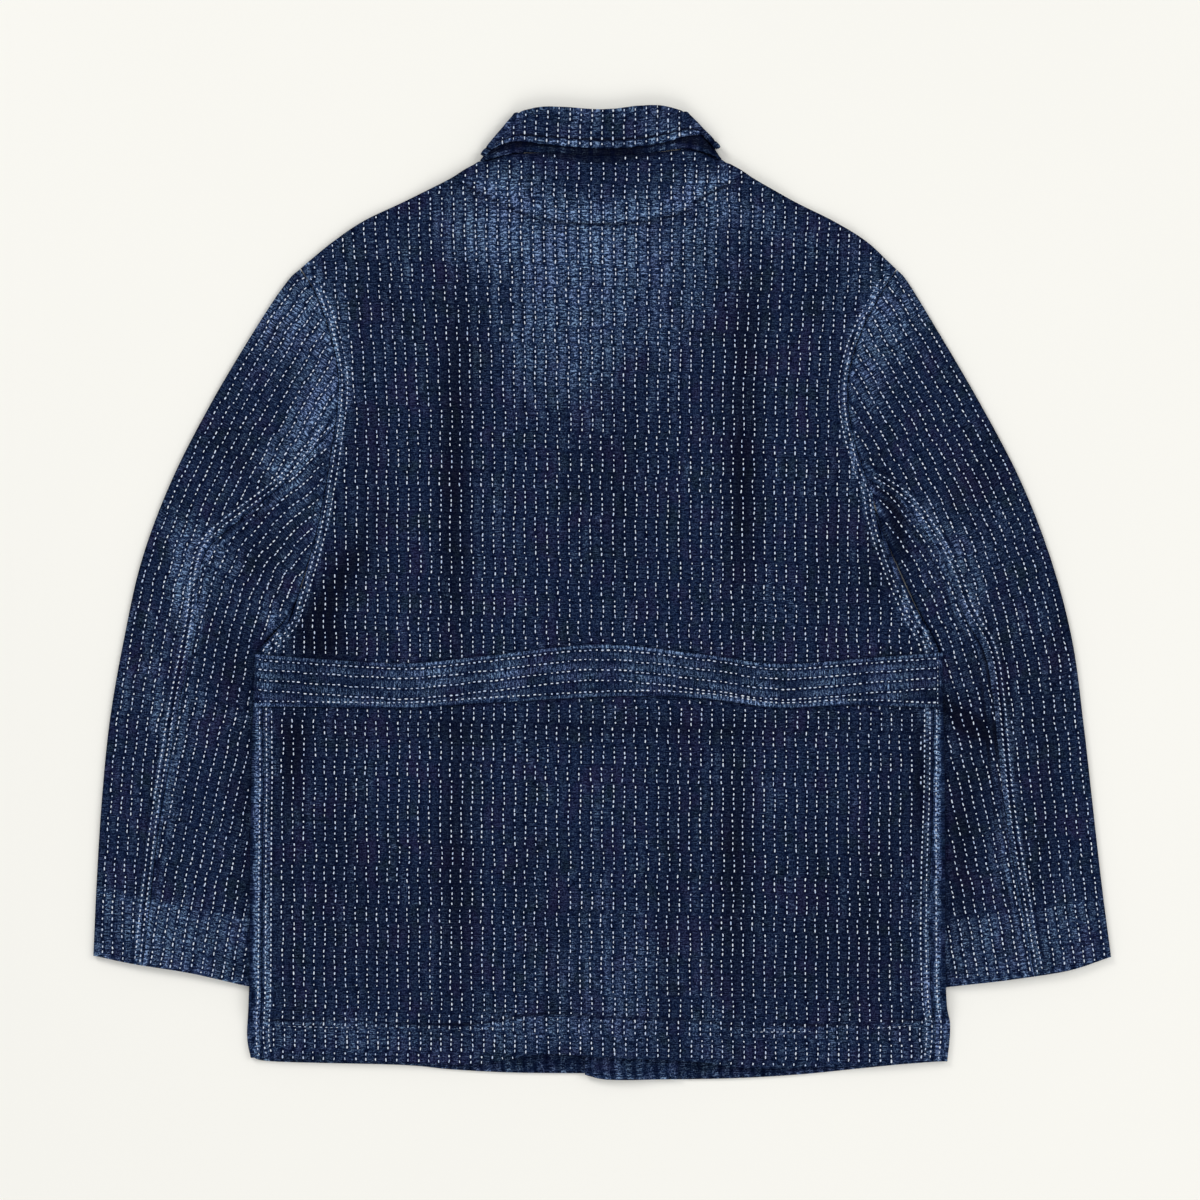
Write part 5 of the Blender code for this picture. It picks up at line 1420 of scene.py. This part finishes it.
def belt_stitches():
    """The belt's rows, which run along it, and the stitching at its edges and end."""
    random = np.random.default_rng(17)
    x = np.arange(BELT_ENDS[0] + 3, BELT_ENDS[1] - 3, 0.5)
    centres, sizes, ways = [], [], []
    for number, drop in enumerate(BELT_ROWS + (None,)):
        table = stitch_places(number, 560, BELT_ENDS[0] + 2)
        place = table[:, 0]
        place = place[place < BELT_ENDS[1] - 3]
        top, foot = belt_edges(place)
        level = top - drop if drop else foot + 4.4
        slip = 0.35 * table[: len(place), 2] if 0 < number < 4 else 0
        centres.append(np.column_stack([place, level + slip + random.normal(0, 0.12, len(place))]))
        sizes.append(table[: len(place), 1] * 0.92)
        slope = (np.interp(place + 2, x, belt_edges(x)[0]) - np.interp(place - 2, x, belt_edges(x)[0])) / 4
        ways.append(unit(np.column_stack([np.ones(len(place)), slope])))
    y = np.arange(-88, -54, 3.6)
    centres.append(np.column_stack([np.full(len(y), BELT_ENDS[1] - 4), y]))
    ways.append(np.tile((0.0, 1.0), (len(y), 1)))
    sizes.append(np.full(len(y), 2.5))
    return sew("belt_stitches", np.vstack(centres), np.vstack(ways), np.concatenate(sizes), belt_outside)


def collar_level():
    """The height of the collar's axis, the radius of its turns and the height of its outside."""
    front_level = NECK_LIFT + CLOTH / 2
    back_level = NECK_LIFT + 2 * CLOTH + EDGE_AIR - CLOTH / 2
    radius = (back_level - front_level + COLLAR_AIR + COLLAR_WALL) / 2
    middle = (front_level + back_level) / 2
    return middle, radius, middle + radius + COLLAR_AIR / 2 + COLLAR_WALL


def collar_stitches():
    """The collar's rows up and down its leaf."""
    level = collar_level()[2]
    fold = np.array([(-95.0, 352.0)] + [points[1] for points in COLLAR_BACK] + [(93.0, 359.0)])
    leaf = curve([COLLAR_TURN[-1][2]] + [points[2] for points in COLLAR_BACK] + [COLLAR_TURN[1][2]])
    centres, sizes = [], []
    for number in range(-10, 11):
        x = number * COLLAR_STRETCH * PITCH
        foot, top = float(y_at(leaf, x)), float(y_at(fold, x))
        for place, size, step in stitch_places(number, top + 4.0, foot - 1.0):
            if place < top + 1.6:
                centres.append((x + 0.5 * step + 0.02 * (place - foot) * -np.sign(x), place))
                sizes.append(size)
    ways = np.tile((0.0, 1.0), (len(centres), 1))
    bend = COLLAR_AIR / 2 + COLLAR_WALL

    def outside(x, y):
        over = np.clip(y - y_at(fold, x), 0, 0.95 * bend)
        return level - 0.1 - bend + np.sqrt(bend ** 2 - over ** 2)

    return sew("collar_stitches", np.array(centres), ways, np.array(sizes), outside)


def rgb(red, green, blue):
    """A colour of the screen's scale, 0 to 255, as the linear colour that a shader takes."""
    parts = np.array([red, green, blue]) / 255
    parts = np.where(parts <= 0.04045, parts / 12.92, ((parts + 0.055) / 1.055) ** 2.4)
    return (*parts, 1)


class Nodes:
    """Short calls for building a material."""

    def __init__(self, name):
        self.material = bpy.data.materials.new(name)
        self.material.use_nodes = True
        self.tree = self.material.node_tree
        self.shader = self.tree.nodes["Principled BSDF"]

    def add(self, kind, **settings):
        node = self.tree.nodes.new("ShaderNode" + kind)
        for key, value in settings.items():
            setattr(node, key, value)
        return node

    def put(self, socket, value):
        if isinstance(value, bpy.types.NodeSocket):
            self.tree.links.new(value, socket)
        else:
            socket.default_value = value

    def math(self, operation, *values):
        node = self.add("Math", operation=operation)
        for socket, value in zip(node.inputs, values):
            self.put(socket, value)
        return node.outputs[0]

    def times(self, first, second):
        return self.math("MULTIPLY", first, second)

    def line(self, value, slope, start):
        return self.math("MULTIPLY_ADD", value, slope, start)

    def attribute(self, name, output="Fac"):
        return self.add("Attribute", attribute_name=name).outputs[output]

    def scaled(self, vector, factors):
        node = self.add("VectorMath", operation="MULTIPLY")
        self.put(node.inputs[0], vector)
        self.put(node.inputs[1], factors)
        return node.outputs[0]

    def noise(self, vector, factors, detail=2.0, roughness=0.5):
        scaled = self.scaled(vector, factors)
        node = self.add("TexNoise")
        self.put(node.inputs["Vector"], scaled)
        self.put(node.inputs["Scale"], 1.0)
        self.put(node.inputs["Detail"], detail)
        self.put(node.inputs["Roughness"], roughness)
        return node.outputs["Fac"]

    def spread(self, value, low, high, to_low=0.0, to_high=1.0):
        node = self.add("MapRange")
        node.clamp = True
        for socket, number in zip(node.inputs, (value, low, high, to_low, to_high)):
            self.put(socket, number)
        return node.outputs[0]

    def mix(self, factor, first, second):
        node = self.add("Mix", data_type="RGBA", blend_type="MIX")
        self.put(node.inputs[0], factor)
        self.put(node.inputs[6], first)
        self.put(node.inputs[7], second)
        return node.outputs[2]

    def set(self, **values):
        for name, value in values.items():
            self.put(self.shader.inputs[name.replace("_", " ")], value)

    def bump(self, height, strength, distance):
        node = self.add("Bump")
        self.put(node.inputs["Strength"], strength)
        self.put(node.inputs["Distance"], distance)
        self.put(node.inputs["Height"], height)
        self.set(Normal=node.outputs[0])


def indigo_cloth():
    """Slubby hand-dyed indigo, with pale ribs between the rows where it is worn, painted shade near black in
    the furrows along the rows, and painted shade from the dark attribute.
    """
    m = Nodes("indigo_cloth")
    weave = m.attribute("weave", "Vector")
    wear, dark = m.attribute("wear"), m.attribute("dark")
    parts = m.add("SeparateXYZ")
    m.put(parts.inputs[0], weave)
    across, along = parts.outputs[0], parts.outputs[1]
    cloth = m.scaled(weave, (PITCH, 1 / MM, 31))
    row = m.math("COSINE", m.times(across, math.tau))
    thread = m.noise(cloth, (0.16, 1.05, 1), 2.5, 0.6)
    warp = m.noise(cloth, (0.95, 0.3, 1), 2.0, 0.6)
    speckle = m.noise(cloth, (0.8, 0.95, 1), 1.0, 0.6)
    patchy = m.noise(cloth, (0.11, 0.16, 1), 2.0, 0.6)
    cloud = m.noise(cloth, (0.028, 0.02, 1), 3.0, 0.55)
    tint = m.noise(cloth, (0.036, 0.03, 3))
    green = m.noise(cloth, (0.045, 0.046, 5))
    streak = m.noise(cloth, (0.13, 0.012, 1), 1.0)
    uneven = wear
    for texture, strength in ((cloud, 1.0), (patchy, 0.7), (streak, 0.9)):
        uneven = m.line(m.math("SUBTRACT", texture, 0.5), strength, uneven)
    faded = m.spread(uneven, 0.1, 1.0)
    slip = m.times(m.noise(cloth, (0.14, 0.09, 1)), 20.0)
    ribs = m.math("SINE", m.line(along, math.tau / RIB_PITCH, slip))
    ribs = m.times(ribs, m.spread(faded, 0.15, 0.8, 0.3, 1.0))
    between_rows = m.spread(row, 0.35, -0.35)
    grain = m.math("ADD", m.times(thread, 0.42), m.times(warp, 0.2))
    grain = m.line(speckle, 0.38, grain)
    bars = m.times(m.spread(m.line(grain, 9.0, ribs), 4.5, 5.8), between_rows)
    navy = m.mix(m.spread(tint, 0.5, 0.7), rgb(18, 33, 64), rgb(31, 32, 66))
    navy = m.mix(m.spread(green, 0.53, 0.7, 0.0, 0.8), navy, rgb(17, 33, 47))
    navy = m.mix(m.times(faded, 0.8), navy, rgb(35, 58, 98))
    fleck = m.times(m.spread(grain, 0.515, 0.65), m.line(faded, 0.55, 0.13))
    light_share = m.math("ADD", fleck, m.times(bars, m.line(faded, 0.95, 0.06)))
    pale = m.mix(m.spread(tint, 0.42, 0.62), rgb(144, 175, 211), rgb(138, 161, 207))
    colour = m.mix(light_share, navy, pale)
    # The dark attribute is painted shade in folds, hollows, grooves and under the collar's leaf, with some
    # unfaded dye; it darkens the cloth less where it is worn
    deep = m.times(dark, m.line(wear, -0.3, 1.0))
    colour = m.mix(m.spread(deep, 0.0, 1.0, 0.0, 0.85), colour, rgb(8, 9, 20))
    # Painted shade in the furrows along the rows of stitches, patchy in strength
    beside = m.times(m.spread(row, 0.0, 0.8), m.spread(patchy, 0.62, 0.4, 0.2, 0.75))
    colour = m.mix(beside, colour, rgb(1, 8, 34))
    colour = m.mix(m.spread(grain, 0.51, 0.43, 0.0, 0.92), colour, rgb(0, 4, 24))
    m.set(Base_Color=colour, Roughness=m.spread(grain, 0.3, 0.7, 0.98, 0.86), Specular_IOR_Level=0.03)
    m.bump(m.line(bars, 0.5, grain), 0.8, 0.0006)
    return m.material


def sashiko_thread():
    """Off-white cotton thread, greyed unevenly."""
    m = Nodes("sashiko_thread")
    place = m.add("TexCoord").outputs["Object"]
    tone = m.noise(place, (160, 160, 160), 1.0)
    twist = m.noise(place, (1500, 1500, 1500), 1.0)
    colour = m.mix(m.spread(tone, 0.36, 0.62), rgb(196, 213, 244), rgb(236, 244, 255))
    colour = m.mix(m.spread(twist, 0.3, 0.55, 0.25, 0.0), colour, rgb(124, 146, 196))
    m.set(Base_Color=colour, Roughness=m.spread(twist, 0.3, 0.7, 0.7, 0.9), Specular_IOR_Level=0.2)
    return m.material


def horn():
    """A dark brown button with a faint grain."""
    m = Nodes("button_horn")
    place = m.add("TexCoord").outputs["Object"]
    grain = m.noise(place, (90, 420, 90), 4.0, 0.6)
    scuff = m.noise(place, (700, 700, 700))
    m.set(Base_Color=m.mix(m.spread(grain, 0.35, 0.68), rgb(34, 26, 22), rgb(78, 58, 44)),
          Roughness=m.spread(scuff, 0.35, 0.7, 0.3, 0.5))
    m.bump(scuff, 0.2, 0.0003)
    return m.material


def floor_paint():
    """A pale matt floor."""
    m = Nodes("pale_floor")
    tone = m.noise(m.add("TexCoord").outputs["Object"], (3, 3, 3))
    m.set(Base_Color=m.mix(m.spread(tone, 0.3, 0.7), rgb(250, 248, 241), rgb(251, 249, 242)),
          Roughness=0.9, Specular_IOR_Level=0.1)
    return m.material


def light(name, place, size, power):
    """A soft square light that looks at the jacket."""
    lamp = bpy.data.lights.new(name, "AREA")
    lamp.shape = "SQUARE"
    lamp.size = size
    lamp.energy = power
    made = bpy.data.objects.new(name, lamp)
    made.location = place
    made.rotation_euler = (-Vector(place)).to_track_quat("-Z", "Y").to_euler()
    bpy.context.scene.collection.objects.link(made)


scene = bpy.context.scene
cloth_material = indigo_cloth()
thread_material = sashiko_thread()
button_material = horn()

# For each node its cloth piece, its threads and the pieces that it rests on
made = {"back": (make_back(), back_stitches(), ["front_left_panel", "front_right_panel"])}
for side, word in ((-1, "left"), (1, "right")):
    tops, lows = sleeve_stitches(side, word), sleeve_lower_stitches(side, word)
    upper_panel, under_panel = make_sleeve(side, word)
    made[f"front_{word}"] = (make_front(side, word), front_stitches(side, word),
                             [f"sleeve_{word}_under_panel"])
    made[f"sleeve_{word}_upper"] = (upper_panel, [tops[0], lows[0]], [])
    made[f"sleeve_{word}_under"] = (under_panel, [tops[1], lows[1]], [])
made["front_facing_right"] = (make_facing(), [], ["front_right_panel"])
made["collar"] = (make_collar(), [collar_stitches()], ["back_panel", "front_left_panel", "front_right_panel"])
made["back_belt"] = (make_belt(), [belt_stitches()], ["back_panel"])

# Each cloth piece stands for its solid and is a sheet, with the pieces of thread that it carries
for node, (piece, threads, below) in made.items():
    piece.data.materials.append(cloth_material)
    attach(piece, "root")
    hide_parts(node)
    for thread in threads:
        thread.data.materials.append(thread_material)
        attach(thread, "root")

for name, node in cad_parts.items():
    if name.startswith("button"):
        for slot in node.material_slots:
            slot.material = button_material

floor_mesh = bpy.data.meshes.new("floor")
corners = [(x * FLOOR_HALF, y * FLOOR_HALF, -FLOOR_DROP) for x, y in ((-1, -1), (1, -1), (1, 1), (-1, 1))]
floor_mesh.from_pydata(corners, [], [(0, 1, 2, 3)])
floor_mesh.materials.append(floor_paint())
floor = bpy.data.objects.new("floor", floor_mesh)
scene.collection.objects.link(floor)
floor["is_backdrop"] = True

world = bpy.data.worlds.new("studio")
world.use_nodes = True
world.node_tree.nodes["Background"].inputs[0].default_value = (0.97, 0.985, 1.0, 1)
world.node_tree.nodes["Background"].inputs[1].default_value = 0.5
scene.world = world
light("key", (-2.1, 2.1, 2.3), 1.4, 42)
light("fill", (2.4, 0.8, 2.5), 1.8, 31)
light("low", (0.2, -2.7, 2.4), 1.8, 32)
scene.view_settings.view_transform = "Standard"

# The camera looks straight down, as in the photo
camera = bpy.data.objects.new("camera", bpy.data.cameras.new("camera"))
camera.data.sensor_width = 36
camera.data.lens = 111.1
camera.data.clip_end = 20
camera.location = (-0.0016, -0.0049, 3.007)
scene.collection.objects.link(camera)
scene.camera = camera

triangles = [len(face.vertices) - 2 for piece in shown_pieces() if piece.type == "MESH"
             for face in piece.data.polygons]
print("triangles", sum(triangles))
